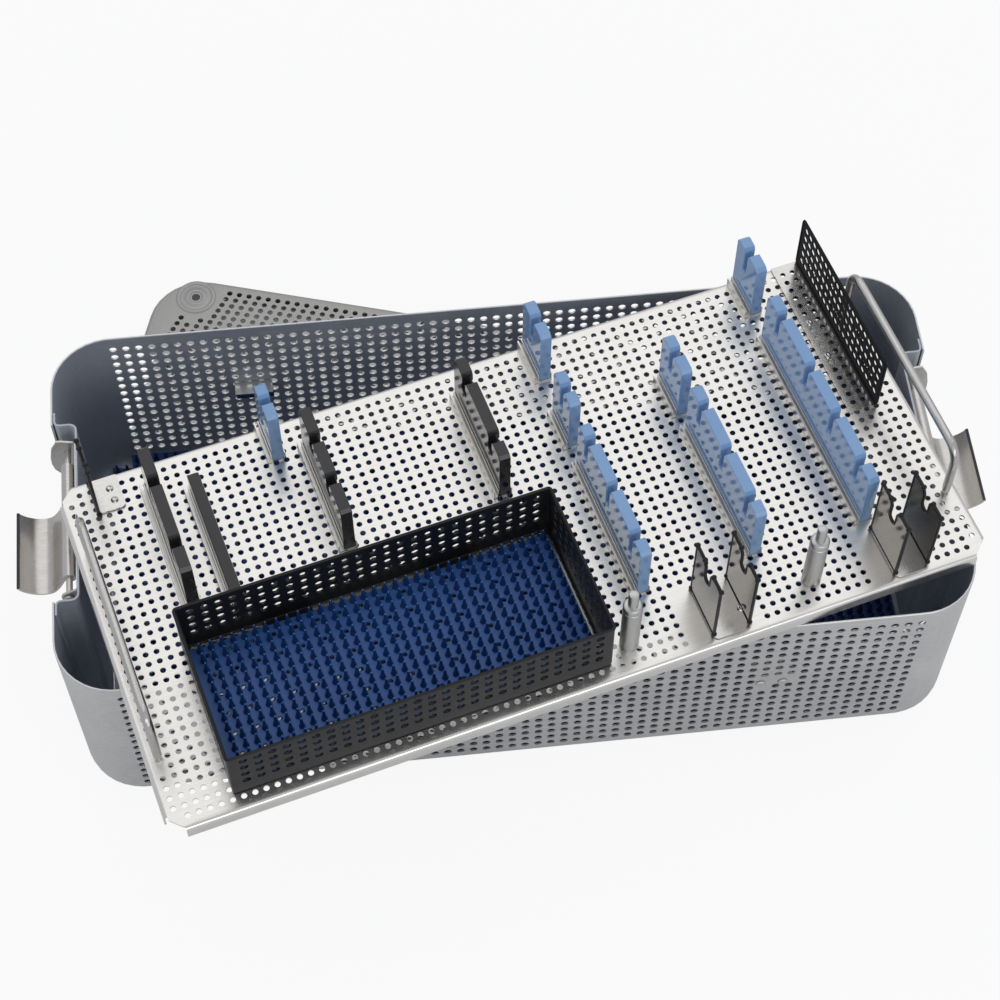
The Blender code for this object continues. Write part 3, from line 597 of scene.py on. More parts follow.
def wall_track(length, width, radius, pitch, count_long, count_short, side_lines=()):
    """Lines round a rounded rectangle, counter-clockwise from the front left: the running
    length, the place, the outward normal, and for each span whether holes go in it. A row
    of cells is centred on each straight side."""
    x, y = length / 2 - radius, width / 2 - radius
    half = pitch * count_long / 2
    lines_long = np.linspace(-half, half, count_long + 1)
    if count_short:
        reach = pitch * count_short / 2
        lines_short = np.linspace(-reach, reach, count_short + 1)
    else:
        lines_short = np.array(side_lines, float)
    flags, spots, normals = [], [], []
    for quarter in range(4):
        turn = quarter * math.pi / 2
        ahead = np.array([math.cos(turn), math.sin(turn)])
        out = np.array([ahead[1], -ahead[0]])
        half_along, half_out = ((x, y), (y, x))[quarter % 2]
        lines = (lines_long, lines_short)[quarter % 2]
        holed = quarter % 2 == 0 or bool(count_short)
        for k, a in enumerate(lines):
            over = max(abs(a) - half_along, 0.0)
            drop = radius - math.sqrt(radius * radius - over * over)
            normal = out + ahead * math.copysign(over, a) / radius
            spots.append(ahead * a + out * (half_out + radius - drop))
            normals.append(normal / np.linalg.norm(normal))
            flags.append(int(holed and k < len(lines) - 1))
        over = max(lines[-1] - half_along, 0.0)
        begin = math.asin(over / radius)
        after = (lines_short, lines_long)[quarter % 2]
        over = max(after[-1] - half_out, 0.0)
        end = math.pi / 2 - math.asin(over / radius)
        first = int(lines[-1] >= half_along)
        stop = 10 - int(after[-1] >= half_out)
        for angle in np.linspace(begin, end, 10)[first:stop]:
            normal = out * math.cos(angle) + ahead * math.sin(angle)
            spots.append(ahead * half_along + out * half_out + normal * radius)
            normals.append(normal)
            flags.append(0)
    spots.append(spots[0])
    normals.append(normals[0])
    spots, normals = np.array(spots), np.array(normals)
    steps = np.linalg.norm(np.diff(spots, axis=0), axis=1)
    return np.concatenate([[0.0], np.cumsum(steps)]), spots, normals, np.array(flags)


def wall_skin(track, profile, flat, faces):
    """Bends flat cells round a track. The profile is rows of (height along the wall, front
    inset, front height, back inset, back height)."""
    run, spots, normals, _ = track
    s, t = flat[:, 0], flat[:, 1]
    spot = np.column_stack([np.interp(s, run, spots[:, k]) for k in (0, 1)])
    normal = np.column_stack([np.interp(s, run, normals[:, k]) for k in (0, 1)])
    up = np.array(profile)
    front_in, front_z, back_in, back_z = [
        np.interp(t, up[:, 0], up[:, k]) for k in (1, 2, 3, 4)
    ]
    front = np.column_stack([spot - normal * front_in[:, None], front_z])
    back = np.column_stack([spot - normal * back_in[:, None], back_z])
    return front, back, faces


end_half = BASKET_WIDTH / 2 - CORNER
track = wall_track(
    BASKET_LENGTH, BASKET_WIDTH, CORNER, WALL_PITCH, 59, 0,
    (-end_half, -POCKET_HALF, POCKET_HALF, end_half),
)
bend = []
for angle in np.radians(np.linspace(0.0, 90.0, 7)):
    bend.append((
        BOTTOM_BEND - BOTTOM_BEND * (math.pi / 2 - angle),
        BOTTOM_BEND * (1.0 - math.sin(angle)), BOTTOM_BEND * (1.0 - math.cos(angle)),
        BOTTOM_BEND - (BOTTOM_BEND - SHEET) * math.sin(angle),
        BOTTOM_BEND - (BOTTOM_BEND - SHEET) * math.cos(angle),
    ))
profile = bend + [(z, 0.0, z, SHEET, z) for z in (ROWS_FROM, BASKET_TOP - TOP_EDGE)]
profile.append((BASKET_TOP, TOP_EDGE, BASKET_TOP, SHEET - TOP_EDGE, BASKET_TOP))
lines_t = np.concatenate([
    [row[0] for row in bend], ROWS_FROM + WALL_PITCH * np.arange(WALL_ROWS + 1),
    [BASKET_TOP - TOP_EDGE, BASKET_TOP],
])
run, spots, normals, flags = track
state = np.zeros((len(run) - 1, len(lines_t) - 1), int)
row_ids = np.arange(len(bend), len(bend) + WALL_ROWS)
state[np.ix_(flags == 1, row_ids)] = 1
middle = (spots[1:] + spots[:-1]) / 2
at_end = np.abs(middle[:, 0]) > BASKET_LENGTH / 2 - 3.0
state[at_end & (np.abs(middle[:, 1]) < POCKET_HALF - 1.0)] = -1
for rivet_x in RIVET_X:
    for j in row_ids:
        z = (lines_t[j] + lines_t[j + 1]) / 2
        near = np.hypot(middle[:, 0] - rivet_x, z - RIVET_Z) < RIVET_CLEAR
        state[(flags == 1) & near, j] = 0
wall_flat, wall_faces = cells(run, lines_t, state, WALL_HOLE)
wall = wall_skin(track, profile, wall_flat, wall_faces)

floor_x = WALL_PITCH * np.arange(-29, 30)
floor_y = WALL_PITCH * np.arange(-13, 14)
floor_state = np.ones((len(floor_x) - 1, len(floor_y) - 1), int)
floor_flat, floor_faces = cells(floor_x, floor_y, floor_state, WALL_HOLE, 8)
ring_spots = spots - normals * BOTTOM_BEND
loop = []
for k, spot in enumerate(ring_spots[:-1]):
    loop.append(spot)
    if abs(abs(spot[1]) - POCKET_HALF) < 0.01:
        inner = np.array([math.copysign(POCKET_IN, spot[0]), spot[1]])
        here = len(loop) - 1
        going_in = abs(ring_spots[k + 1][1] + spot[1]) < 0.01
        loop.insert(here + 1 if going_in else here, inner)
loop = np.array(loop)


def floor_covered(points):
    """Which points lie in the perforated part of the floor."""
    return (np.abs(points[:, 0]) < floor_x[-1]) & (np.abs(points[:, 1]) < floor_y[-1])


edge_points, edge_faces = fill_between(
    loop, floor_flat, floor_faces, floor_covered, len(floor_x) * len(floor_y),
)


def downward(faces):
    """The same polygons seen from the other side."""
    three = faces[:, 3] < 0
    flipped = faces[:, ::-1].copy()
    flipped[three] = np.column_stack([faces[three][:, 2::-1], np.full(three.sum(), -1)])
    return flipped


basket_points, basket_faces, basket_side = thicken(
    wall,
    (level(floor_flat, 0.0), level(floor_flat, SHEET), downward(floor_faces)),
    (level(edge_points, 0.0), level(edge_points, SHEET), downward(edge_faces)),
)
add_piece(
    "basket_sheet", placed(basket_points, BASKET_AT), basket_faces, [shell_out, shell_in_painted_shade],
    "basket", basket_side, stands_for=["basket_shell"],
)


# End plates, wall brackets, rivets and latches keep their own solids. The end plates take the
# basket's inside tone, with its painted shade and painted reflection; the rest are bright stainless
# steel, with their edges slightly rounded.
steel = surface(
    "fitting_steel", (0.54, 0.52, 0.49), (0.68, 0.66, 0.63), (0.22, 0.34), 1.0, 0.0, 0.08,
    900.0, 0.1,
)


def soften(name, width, segments=2, angle=32.0):
    """Joins the split points of a carried-over solid and rounds its sharp edges."""
    piece = nodes[name]
    weld = piece.modifiers.new("Join", "WELD")
    weld.merge_threshold = 0.00001
    round_off = piece.modifiers.new("Round", "BEVEL")
    round_off.width = width * MM
    round_off.segments = segments
    round_off.limit_method = "ANGLE"
    round_off.angle_limit = math.radians(angle)
    round_off.harden_normals = False
    round_off.use_clamp_overlap = True


def dress(names, look, width=0.0, segments=2):
    """Gives carried-over solids their material, and rounded edges where a width is given."""
    for name in names:
        piece = nodes[name]
        piece.data.materials.clear()
        piece.data.materials.append(look)
        if width:
            soften(name, width, segments)


# The end plates get the inside tone: painted shade and painted reflection.
dress(["end_plate_left", "end_plate_right"], shell_in_painted_shade, 0.0)
brackets = [
    f"support_bracket_{wall_name}_{word}" for wall_name in ("front", "back")
    for word in ("left", "right")
]
dress(brackets, steel, 0.3)
dress([f"bracket_rivet_{w}_{n}" for w in ("front", "back") for n in (1, 2, 3, 4)], steel, 0.0)
for word in ("left", "right"):
    dress(["latch_bracket_" + word], steel, 0.25)
    dress(["latch_pin_" + word], steel, 0.3)


# Latch flaps: a rolled barrel round the pin, and a plate that sweeps down and out from it and up
# again to a lip, whose round hem is near black: painted shade on the upturned lip. The plate's path
# is a smooth curve through a few places.
def slab(loop, low, high):
    """A flat outline as a body between two heights."""
    count = len(loop)
    i = np.arange(count)
    j = (i + 1) % count
    sides = np.column_stack([i, j, j + count, i + count]).tolist()
    ends = [i[::-1].tolist(), (i + count).tolist()]
    return np.vstack([level(loop, low), level(loop, high)]), sides + ends


def smooth_through(places, steps):
    """A curve through the given places. Between two of them each coordinate is a cubic whose
    slope at a place is half the distance between that place's two neighbours."""
    places = np.asarray(places, float)
    every = np.vstack([2 * places[0] - places[1], places, 2 * places[-1] - places[-2]])
    share = (np.arange(steps) / steps)[:, None]
    curve = []
    for a, b, c, d in zip(every[:-3], every[1:-2], every[2:-1], every[3:]):
        curve.append(b + share * (c - a) / 2 + share ** 2 * (2 * a - 5 * b + 4 * c - d) / 2
                     + share ** 3 * (3 * b - 3 * c + d - a) / 2)
    return np.vstack(curve + [places[-1:]])


FLAP_AXIS, FLAP_HALF, FLAP_THICK = (261.4, 124.0), 26.5, 1.3
BARREL_FROM, BARREL_TO, BARREL_RADIUS, PIN_HOLE = -37.0, 41.0, 4.0, 2.08
flap_path = smooth_through([
    (3.4, -0.4), (4.2, -12.0), (6.4, -19.0), (9.6, -25.4), (12.4, -29.8), (15.2, -32.6),
    (18.4, -33.6), (22.4, -33.4), (26.2, -32.2), (29.8, -29.9), (32.5, -27.2),
    (33.84, -24.8),
], 5)
ahead = np.gradient(flap_path, axis=0)
ahead /= np.linalg.norm(ahead, axis=1)[:, None]
flap_left = np.column_stack([-ahead[:, 1], ahead[:, 0]])
flap_loop = np.vstack([flap_path, (flap_path - FLAP_THICK * flap_left)[::-1]])
circle = np.radians(np.arange(0.0, 360.0, 11.25))
circle = np.column_stack([np.cos(circle), np.sin(circle)])
count = len(circle)
i, j = np.arange(count), (np.arange(count) + 1) % count
barrel_points = np.vstack([
    level(circle * radius, end) for radius in (BARREL_RADIUS, PIN_HOLE)
    for end in (BARREL_FROM, BARREL_TO)
])
barrel_faces = np.vstack([
    np.column_stack([i, j, j + count, i + count]),
    np.column_stack([j + 2 * count, i + 2 * count, i + 3 * count, j + 3 * count]),
    np.column_stack([j, i, i + 2 * count, j + 2 * count]),
    np.column_stack([i + count, j + count, j + 3 * count, i + 3 * count]),
]).tolist()
hem = circle[::4] * 0.95 + flap_path[-1] - FLAP_THICK / 2 * flap_left[-1]
flap_bodies = [
    slab(flap_loop[::-1], -FLAP_HALF, FLAP_HALF), (barrel_points, barrel_faces),
    slab(hem, 0.2 - FLAP_HALF, FLAP_HALF - 0.2),
]
# Near black hem: painted shade where the lip turns up.
flap_painted_shade = surface(
    "flap_hem_painted_shade", (0.02, 0.02, 0.02), (0.04, 0.04, 0.04), (0.4, 0.5), 0.0, 0.0, 1.0, 900.0, 0.05,
)
flap_points, flap_faces = merged(*flap_bodies)
flap_side = np.repeat([0, 0, 1], [len(body[1]) for body in flap_bodies])
for word, sign in (("left", -1), ("right", 1)):
    points = np.column_stack([
        sign * (flap_points[:, 0] + FLAP_AXIS[0]), flap_points[:, 2],
        flap_points[:, 1] + FLAP_AXIS[1],
    ])
    turned_faces = flap_faces if sign < 0 else [face[::-1] for face in flap_faces]
    add_piece(
        "latch_flap_sheet_" + word, placed(points, BASKET_AT), turned_faces,
        [steel, flap_painted_shade], "latch_" + word, flap_side, 40.0,
        ["latch_flap_" + word],
    )


# Floor mat: blue silicone sheet on the basket's floor, darkened as painted shade from the tray
# above, with a slim pointed finger in each cell of a square lattice. Its long edges ride up on the
# bend of the floor.
# Darker than the parts mat's blue: painted shade under the tray.
silicone = surface(
    "mat_blue_painted_shade", (0.016, 0.060, 0.21), (0.024, 0.080, 0.27), (0.36, 0.48), 0.0, 0.0, 1.0,
    2600.0, 0.08, 0.4,
)
# Finger sides: a darker copy of the mat's blue, painted shade between the fingers.
finger_blue_painted_shade = surface(
    "finger_blue_painted_shade", (0.006, 0.036, 0.15), (0.010, 0.050, 0.20), (0.28, 0.38), 0.0, 0.0, 1.0,
    2600.0, 0.05, 0.5,
)
# Finger tips: a lighter copy of the blue, a painted highlight on the rounded tips.
finger_tip_painted_highlight = surface(
    "finger_tip_painted_highlight", (0.050, 0.170, 0.42), (0.070, 0.210, 0.50), (0.24, 0.34), 0.0, 0.0, 1.0,
    2600.0, 0.05, 0.5,
)
FINGER_PITCH = 6.49


def fingers(spots, foot_z, tip_z, radius, sides):
    """One slim cone on each spot (x, y). Heights may differ from spot to spot."""
    angles = np.arange(sides) * 2 * math.pi / sides
    circle = np.column_stack([np.cos(angles), np.sin(angles)])
    shape = [(1.0, 0.0), (0.62, 0.3), (0.4, 0.75), (0.28, 0.95)]
    count = len(spots)
    foot_z = np.broadcast_to(foot_z, count)[:, None]
    tip_z = np.broadcast_to(tip_z, count)[:, None]
    points = np.empty((count, len(shape) * sides + 1, 3))
    for k, (share, up) in enumerate(shape):
        part = slice(k * sides, (k + 1) * sides)
        points[:, part, :2] = spots[:, None] + circle * radius * share
        points[:, part, 2] = foot_z + (tip_z - foot_z) * up
    points[:, -1, :2] = spots
    points[:, -1, 2] = tip_z[:, 0]
    i = np.arange(sides)
    j = (i + 1) % sides
    none = np.full(sides, -1)
    one = [
        np.column_stack([k * sides + i, k * sides + j, (k + 1) * sides + j, (k + 1) * sides + i])
        for k in range(len(shape) - 1)
    ]
    top = (len(shape) - 1) * sides
    one.append(np.column_stack([top + i, top + j, np.full(sides, top + sides), none]))
    one = np.concatenate(one)
    start = np.arange(count)[:, None, None] * points.shape[1]
    faces = np.where(one < 0, -1, one + start).reshape(-1, 4)
    # Each cone's sides get material 1, a darker painted shade; its top gets material 2, a lighter
    # painted highlight.
    return points.reshape(-1, 3), faces, np.tile(np.repeat([1, 2], [3 * sides, sides]), count)


def mat_body(base, grown):
    """A mat's sheet and its fingers as one body, and which material each polygon has."""
    finger_points, finger_faces, finger_side = grown
    finger_faces = np.where(finger_faces < 0, -1, finger_faces + len(base[0]))
    return (
        np.concatenate([base[0], finger_points]), np.concatenate([base[1], finger_faces]),
        np.concatenate([np.zeros(len(base[1]), int), finger_side]),
    )


def floor_rise(x, y):
    """Height of the mat's underside: flat, then up the round bend between floor and wall.
    Over is the distance past the start of that bend, along a side or round a corner."""
    round_x = np.maximum(np.abs(x) - (BASKET_LENGTH / 2 - CORNER), 0.0)
    round_y = np.maximum(np.abs(y) - (BASKET_WIDTH / 2 - CORNER), 0.0)
    over = np.clip(np.hypot(round_x, round_y) - (CORNER - BOTTOM_BEND), 0.0, 10.2)
    inner = BOTTOM_BEND - SHEET
    return BOTTOM_BEND + 0.3 - np.sqrt(inner * inner - over * over)


mat_columns, mat_rows = 77, 37
mat_x = FINGER_PITCH * (np.arange(mat_columns + 1) - mat_columns / 2)
mat_y = FINGER_PITCH * (np.arange(mat_rows + 1) - mat_rows / 2)
mid_x, mid_y = (mat_x[1:] + mat_x[:-1]) / 2, (mat_y[1:] + mat_y[:-1]) / 2
cell_x, cell_y = np.meshgrid(mid_x, mid_y, indexing="ij")
corner_x = np.maximum(np.abs(cell_x) + FINGER_PITCH / 2 - (BASKET_LENGTH / 2 - CORNER), 0.0)
corner_y = np.maximum(np.abs(cell_y) + FINGER_PITCH / 2 - (BASKET_WIDTH / 2 - CORNER), 0.0)
kept = np.hypot(corner_x, corner_y) < CORNER - SHEET - 0.4
flat, faces = cells(mat_x, mat_y, np.where(kept, 0, -1), 1.0)
under = floor_rise(flat[:, 0], flat[:, 1])
base = thicken((
    np.column_stack([flat, under + 2.0]), np.column_stack([flat, under]), faces,
))
spots_xy = np.column_stack([cell_x[kept], cell_y[kept]])
foot = floor_rise(spots_xy[:, 0], spots_xy[:, 1]) + 1.8
points, faces, side = mat_body(base, fingers(spots_xy, foot, foot + 10.6, 2.2, 6))
add_piece(
    "basket_finger_mat", placed(points, BASKET_AT), faces,
    [silicone, finger_blue_painted_shade, finger_tip_painted_highlight], "basket", side, 50.0, ["floor_mat"],
)


# Instrument tray: bright perforated sheet laid across the basket, its four edges folded
# down and its corners cut off. Cells without a hole lie under the feet of the holders.
TRAY_AT, TRAY_TURN = (5.04, -67.79, 160.9), 14.774
TRAY_PITCH, TRAY_HOLE = 6.4, 1.75
TRAY_U, TRAY_V, TRAY_BEND, TRAY_DROP = 250.0, 117.0, 2.6, 9.3
TRAY_COLUMNS, TRAY_ROWS, TRAY_CUT = 77, 35, 6.3
tray_look = surface(
    "tray_steel", (0.76, 0.74, 0.70), (0.86, 0.84, 0.80), (0.24, 0.32), 1.0, -TRAY_TURN,
    0.05, 800.0, 0.03,
)


def folded(length, half):
    """Where a point at some length from the middle comes to lie once the edge is folded
    down: its distance out, its drop, and the outward and upward parts of its normal."""
    flat_half = half - TRAY_BEND
    over = np.maximum(np.abs(length) - flat_half, 0.0)
    angle = np.minimum(over / TRAY_BEND, math.pi / 2)
    down = np.maximum(over - TRAY_BEND * math.pi / 2, 0.0)
    sign = np.sign(length)
    out = np.minimum(np.abs(length), flat_half) + TRAY_BEND * np.sin(angle)
    return sign * out, -TRAY_BEND * (1.0 - np.cos(angle)) - down, sign * np.sin(angle), np.cos(angle)


def tray_lines(count, half):
    """Cell lines across the flat part, then lines over the fold and down the flange."""
    flat = TRAY_PITCH * (np.arange(count + 1) - count / 2)
    arc_length = TRAY_BEND * math.pi / 2
    fold = half - TRAY_BEND + arc_length * np.linspace(0.0, 1.0, 5)
    outer = np.concatenate([fold, [half - TRAY_BEND + arc_length + TRAY_DROP - TRAY_BEND]])
    return np.concatenate([-outer[::-1], flat, outer])


lines_u, lines_v = tray_lines(TRAY_COLUMNS, TRAY_U), tray_lines(TRAY_ROWS, TRAY_V)
mid_u, mid_v = np.meshgrid(
    (lines_u[1:] + lines_u[:-1]) / 2, (lines_v[1:] + lines_v[:-1]) / 2, indexing="ij",
)
end_u, end_v = TRAY_PITCH * TRAY_COLUMNS / 2, TRAY_PITCH * TRAY_ROWS / 2
last_u, last_v = end_u - TRAY_PITCH, end_v - TRAY_PITCH
fold_u, fold_v = TRAY_U - TRAY_BEND, TRAY_V - TRAY_BEND
from_u, from_v = np.abs(mid_u), np.abs(mid_v)
state = np.where((from_u < end_u) & (from_v < end_v), 1, 0)
blanks = [
    (-247, -239, 63, 77), (-247, -239, -77, -63), (239, 247, 63, 77), (239, 247, -77, -63),
    (60, 103, -118, -72), (176, 212, -118, -72), (-230, -213, 90, 115), (213, 222, 38, 76),
]
for low_u, high_u, low_v, high_v in blanks:
    within = (mid_u > low_u) & (mid_u < high_u) & (mid_v > low_v) & (mid_v < high_v)
    state[within & (state == 1)] = 0
state[(from_u > last_u) & (from_v > last_v)] = 0
for least_u, least_v in ((end_u, end_v), (fold_u, last_v), (last_u, fold_v)):
    state[(from_u > least_u) & (from_v > least_v)] = -1
flat, faces = cells(lines_u, lines_v, state, TRAY_HOLE)

# The grid's points next to a cut corner move onto the slanted line that cuts it off.
slide = (TRAY_CUT - (fold_u - end_u) - (fold_v - end_v)) / 2
moves = [
    ((end_u, end_v), (end_u - slide, end_v - slide)),
    ((fold_u, end_v), (fold_u, fold_v - TRAY_CUT)),
    ((last_u, fold_v), (fold_u - TRAY_CUT, fold_v)),
    ((end_u, fold_v), (fold_u - TRAY_CUT, fold_v)),
]
for place, moved in moves:
    at = (np.abs(np.abs(flat) - place) < 0.01).all(axis=1)
    flat[at] = np.sign(flat[at]) * moved
u, drop_u, out_u, up_u = folded(flat[:, 0], TRAY_U)
v, drop_v, out_v, up_v = folded(flat[:, 1], TRAY_V)
front = np.column_stack([u, v, drop_u + drop_v])
back = front - SHEET * np.column_stack([out_u, out_v, np.minimum(up_u, up_v)])
tray_points, tray_faces, _ = thicken((front, back, faces))
add_piece(
    "tray_sheet", placed(tray_points, TRAY_AT, TRAY_TURN), tray_faces, [tray_look], "tray",
    stands_for=["insert_sheet"],
)


# Fittings on the tray: round-rod handles, holder strips in channel rails, notched plates,
# posts and the divider. Metal ones are bright steel, strips are black or blue silicone.
bright = surface(
    "rod_steel", (0.60, 0.585, 0.56), (0.72, 0.71, 0.68), (0.16, 0.24), 1.0, -TRAY_TURN, 0.3,
    900.0, 0.015,
)
blue = surface(
    "holder_blue", (0.205, 0.365, 0.625), (0.24, 0.405, 0.675), (0.05, 0.11), 0.0, 0.0, 1.0,
    2200.0, 0.01,
)
black_rubber = surface(
    "holder_black", (0.018, 0.018, 0.019), (0.028, 0.028, 0.030), (0.08, 0.15), 0.0, 0.0, 1.0,
    2200.0, 0.01, 0.5,
)
strips = [f"blue_comb_{n}" for n in range(1, 9)]
dress(strips, blue, 0.45)
black_strips = [f"black_comb_{n}" for n in (1, 2, 3)] + ["black_bar"]
dress(black_strips, black_rubber, 0.4)
handle_steel = surface(
    "handle_steel", (0.50, 0.485, 0.465), (0.62, 0.605, 0.58), (0.24, 0.32), 1.0, -TRAY_TURN,
    0.3, 900.0, 0.01,
)
for name in ("tray_handle_left", "tray_handle_right"):
    dress([name], handle_steel, 0.0)
    join = nodes[name].modifiers.new("Join", "WELD")
    join.merge_threshold = 0.00001
    smooth = nodes[name].modifiers.new("Smooth", "SUBSURF")
    smooth.levels = 1
    smooth.render_levels = 1


# Rails: below each strip a folded steel channel with a narrow gutter along its left side.
# Two thin upright lips close the gutter, and the strip stands behind the inner one.
def along_v(name):
    """From and to where a carried-over piece runs along the short way of the tray, and the
    middle of its width, in millimetres on the tray."""
    mesh = nodes[name].data
    spots = np.empty(len(mesh.vertices) * 3)
    mesh.vertices.foreach_get("co", spots)
    spots = spots.reshape(-1, 3)[:, :2] / MM - TRAY_AT[:2]
    angle = math.radians(TRAY_TURN)
    u = spots @ (math.cos(angle), math.sin(angle))
    v = spots @ (-math.sin(angle), math.cos(angle))
    return v.min(), v.max(), (u.min() + u.max()) / 2


STRIP_HALF = 3.5
rail_section = np.array([
    (0.3, -3.4), (0.3, 1.1), (6.7, 1.1), (6.7, 0.35), (1.2, 0.35), (1.2, -0.3), (7.3, -0.3),
    (7.3, -0.95), (1.2, -0.95), (1.2, -2.5), (6.8, -2.5), (6.8, -3.4),
])
rail_section[:, 1] += np.copysign(STRIP_HALF, rail_section[:, 1])
rail_steel = surface(
    "rail_steel", (0.80, 0.78, 0.74), (0.92, 0.90, 0.86), (0.36, 0.46), 1.0, -TRAY_TURN, 0.1,
    900.0, 0.02,
)
rails = []
for name in strips + black_strips:
    low_v, high_v, middle_u = along_v(name)
    points, polygons = slab(rail_section, low_v, high_v)
    points = points[:, (1, 2, 0)] + (middle_u, 0.0, 0.0)
    rails.append((points, [polygon[::-1] for polygon in polygons]))
points, polygons = merged(*rails)
add_piece(
    "strip_rails", placed(points, TRAY_AT, TRAY_TURN), polygons, [rail_steel], "tray",
    stands_for=[name + "_rail" for name in strips + black_strips],
)


# Posts: round steel pillars with a groove below the rim and a thinner pin on top.
post_profile = [
    (5.2, 0.3), (5.6, 0.7), (5.6, 39.9), (5.25, 40.3), (5.25, 41.3), (5.6, 41.7), (5.6, 43.8),
    (5.2, 44.8), (4.6, 45.2), (3.05, 45.3), (3.0, 45.6), (3.0, 56.2), (2.7, 56.9), (2.1, 57.2),
]
satin = surface(
    "post_steel", (0.55, 0.545, 0.53), (0.62, 0.615, 0.60), (0.34, 0.42), 1.0, 0.0, 1.0,
    900.0, 0.01,
)
posts = []
for post_u, post_v in ((27.8, -96.8), (142.4, -95.7)):
    points, polygons = turned(post_profile, 40)
    posts.append((points + (post_u, post_v, 0.0), polygons))
points, polygons = merged(*posts)
add_piece(
    "posts", placed(points, TRAY_AT, TRAY_TURN), polygons, [satin], "tray",
    stands_for=["post_left", "post_right"],
)


# Notched plates: thin polished plates on riveted feet, each edged all round with a black
# cord that has a small knob at every corner.
plate_steel = surface(
    "plate_steel", (0.20, 0.185, 0.17), (0.28, 0.26, 0.24), (0.07, 0.14), 1.0, 0.0, 0.3,
    900.0, 0.01,
)
black_edge = surface(
    "edge_black", (0.008, 0.008, 0.008), (0.016, 0.016, 0.016), (0.35, 0.45), 0.0, 0.0, 1.0,
    2200.0, 0.05, 0.35,
)


def bead(path, normals, inset, height, radius, sides=10):
    """A closed round bead along a level path, as a tube that meets its own start."""
    angles = np.arange(sides) * 2 * math.pi / sides
    away = (inset - radius * np.cos(angles))[None, :, None]
    spots = np.asarray(path)[:, None] - normals[:, None] * away
    heights = height + radius * np.sin(angles)
    heights = np.broadcast_to(heights, spots.shape[:2])[..., None]
    points = np.concatenate([spots, heights], axis=2)
    count = len(path)
    i = np.arange(count)[:, None]
    k = np.arange(sides)[None]
    n, m = (i + 1) % count, (k + 1) % sides
    faces = np.stack(
        [i * sides + k, n * sides + k, n * sides + m, i * sides + m], axis=-1,
    ).reshape(-1, 4)
    return points.reshape(-1, 3), faces


def outward_of(loop):
    """Unit normals of a closed counter-clockwise outline: at each point a quarter turn to
    the right of the line between its two neighbours."""
    ahead = np.roll(loop, -1, axis=0) - np.roll(loop, 1, axis=0)
    ahead /= np.linalg.norm(ahead, axis=1)[:, None]
    return np.column_stack([ahead[:, 1], -ahead[:, 0]])


def plate_outline(low, high, top):
    """A plate from one edge to the other, with a round-bottomed notch in its top."""
    middle = (low + high) / 2
    notch = [
        (middle + 6.0, top, 0.5), (middle + 3.5, top - 4.0, 1.5),
        (middle + 3.5, top - 15.0, 3.2), (middle - 3.5, top - 15.0, 3.2),
        (middle - 3.5, top - 4.0, 1.5), (middle - 6.0, top, 0.5),
    ]
    return [(low, 1.6, 0.5), (high, 1.6, 0.5), (high, top, 0.5)] + notch + [(low, top, 0.5)]


def knob(at, radius):
    """A small ball in the plane of a plate: eight sides, five rings."""
    tilt = np.radians([-80.0, -45.0, 0.0, 45.0, 80.0])
    profile = np.column_stack([radius * np.cos(tilt), radius * np.sin(tilt)])
    points, polygons = turned([tuple(pair) for pair in profile], 8)
    return points + (at[0], at[1], 0.0), polygons


plate_groups = [
    ((75.0, 97.2), (-109.5, -77.0), 50.0, (74.3, 97.9), (-113.0, -76.5)),
    ((189.8, 210.3), (-110.0, -77.5), 50.0, (189.1, 211.0), (-113.5, -77.0)),
    ((-229.5,), (91.5, 114.5), 47.0, (-230.2, -212.8), (91.8, 115.0)),
]
plates, edges, feet = [], [], []
for places, across, top, foot_u, foot_v in plate_groups:
    corners = plate_outline(*across, top)
    loop = rounded_outline(corners, 0.0, 3)
    for place in places:
        for bodies, made in (
            (plates, [slab(loop, -0.6, 0.6)]),
            (edges, [bead(loop, outward_of(loop), 0.2, 0.0, 1.05, 8)]),
            (edges, [knob(corners[index], 1.7) for index in (0, 1, 2, 3, 8, 9)]),
        ):
            for points, polygons in made:
                bodies.append((points[:, (2, 0, 1)] + (place, 0.0, 0.0), list(polygons)))
    pad = [(foot_u[0], foot_v[0], 3.0), (foot_u[1], foot_v[0], 3.0),
           (foot_u[1], foot_v[1], 1.0), (foot_u[0], foot_v[1], 1.0)]
    feet.append(slab(rounded_outline(pad, 0.0, 5), 0.3, 1.5))
rivet_profile = [(2.3, 1.3), (2.3, 1.7), (1.9, 2.2), (1.1, 2.45), (0.8, 2.3)]
for rivet in ((-219.0, 106.4), (-218.3, 98.0), (96.0, -99.3), (200.0, -85.9)):
    points, polygons = turned(rivet_profile, 20)
    feet.append((points + (*rivet, 0.0), polygons))
points, polygons = merged(*feet, *plates, *edges)
counts = [sum(len(body[1]) for body in bodies) for bodies in (feet, plates, edges)]
plate_side = np.repeat([0, 1, 2], counts)
plate_faces = counts[1] // len(plates)
# The fourth plate, at 210.3, gets material 3, a darker copy of the polished steel: painted shade.
plate_side[counts[0] + 3 * plate_faces:counts[0] + 4 * plate_faces] = 3
plate_painted_shade = surface(
    "plate_painted_shade", (0.030, 0.029, 0.028), (0.045, 0.044, 0.042), (0.16, 0.24), 0.6, 0.0, 0.3,
    900.0, 0.01,
)
add_piece(
    "notched_plates", placed(points, TRAY_AT, TRAY_TURN), polygons,
    [bright, plate_steel, black_edge, plate_painted_shade], "tray", plate_side,
    stands_for=["notch_bracket_inner", "notch_bracket_outer", "notch_bracket_back"],
)


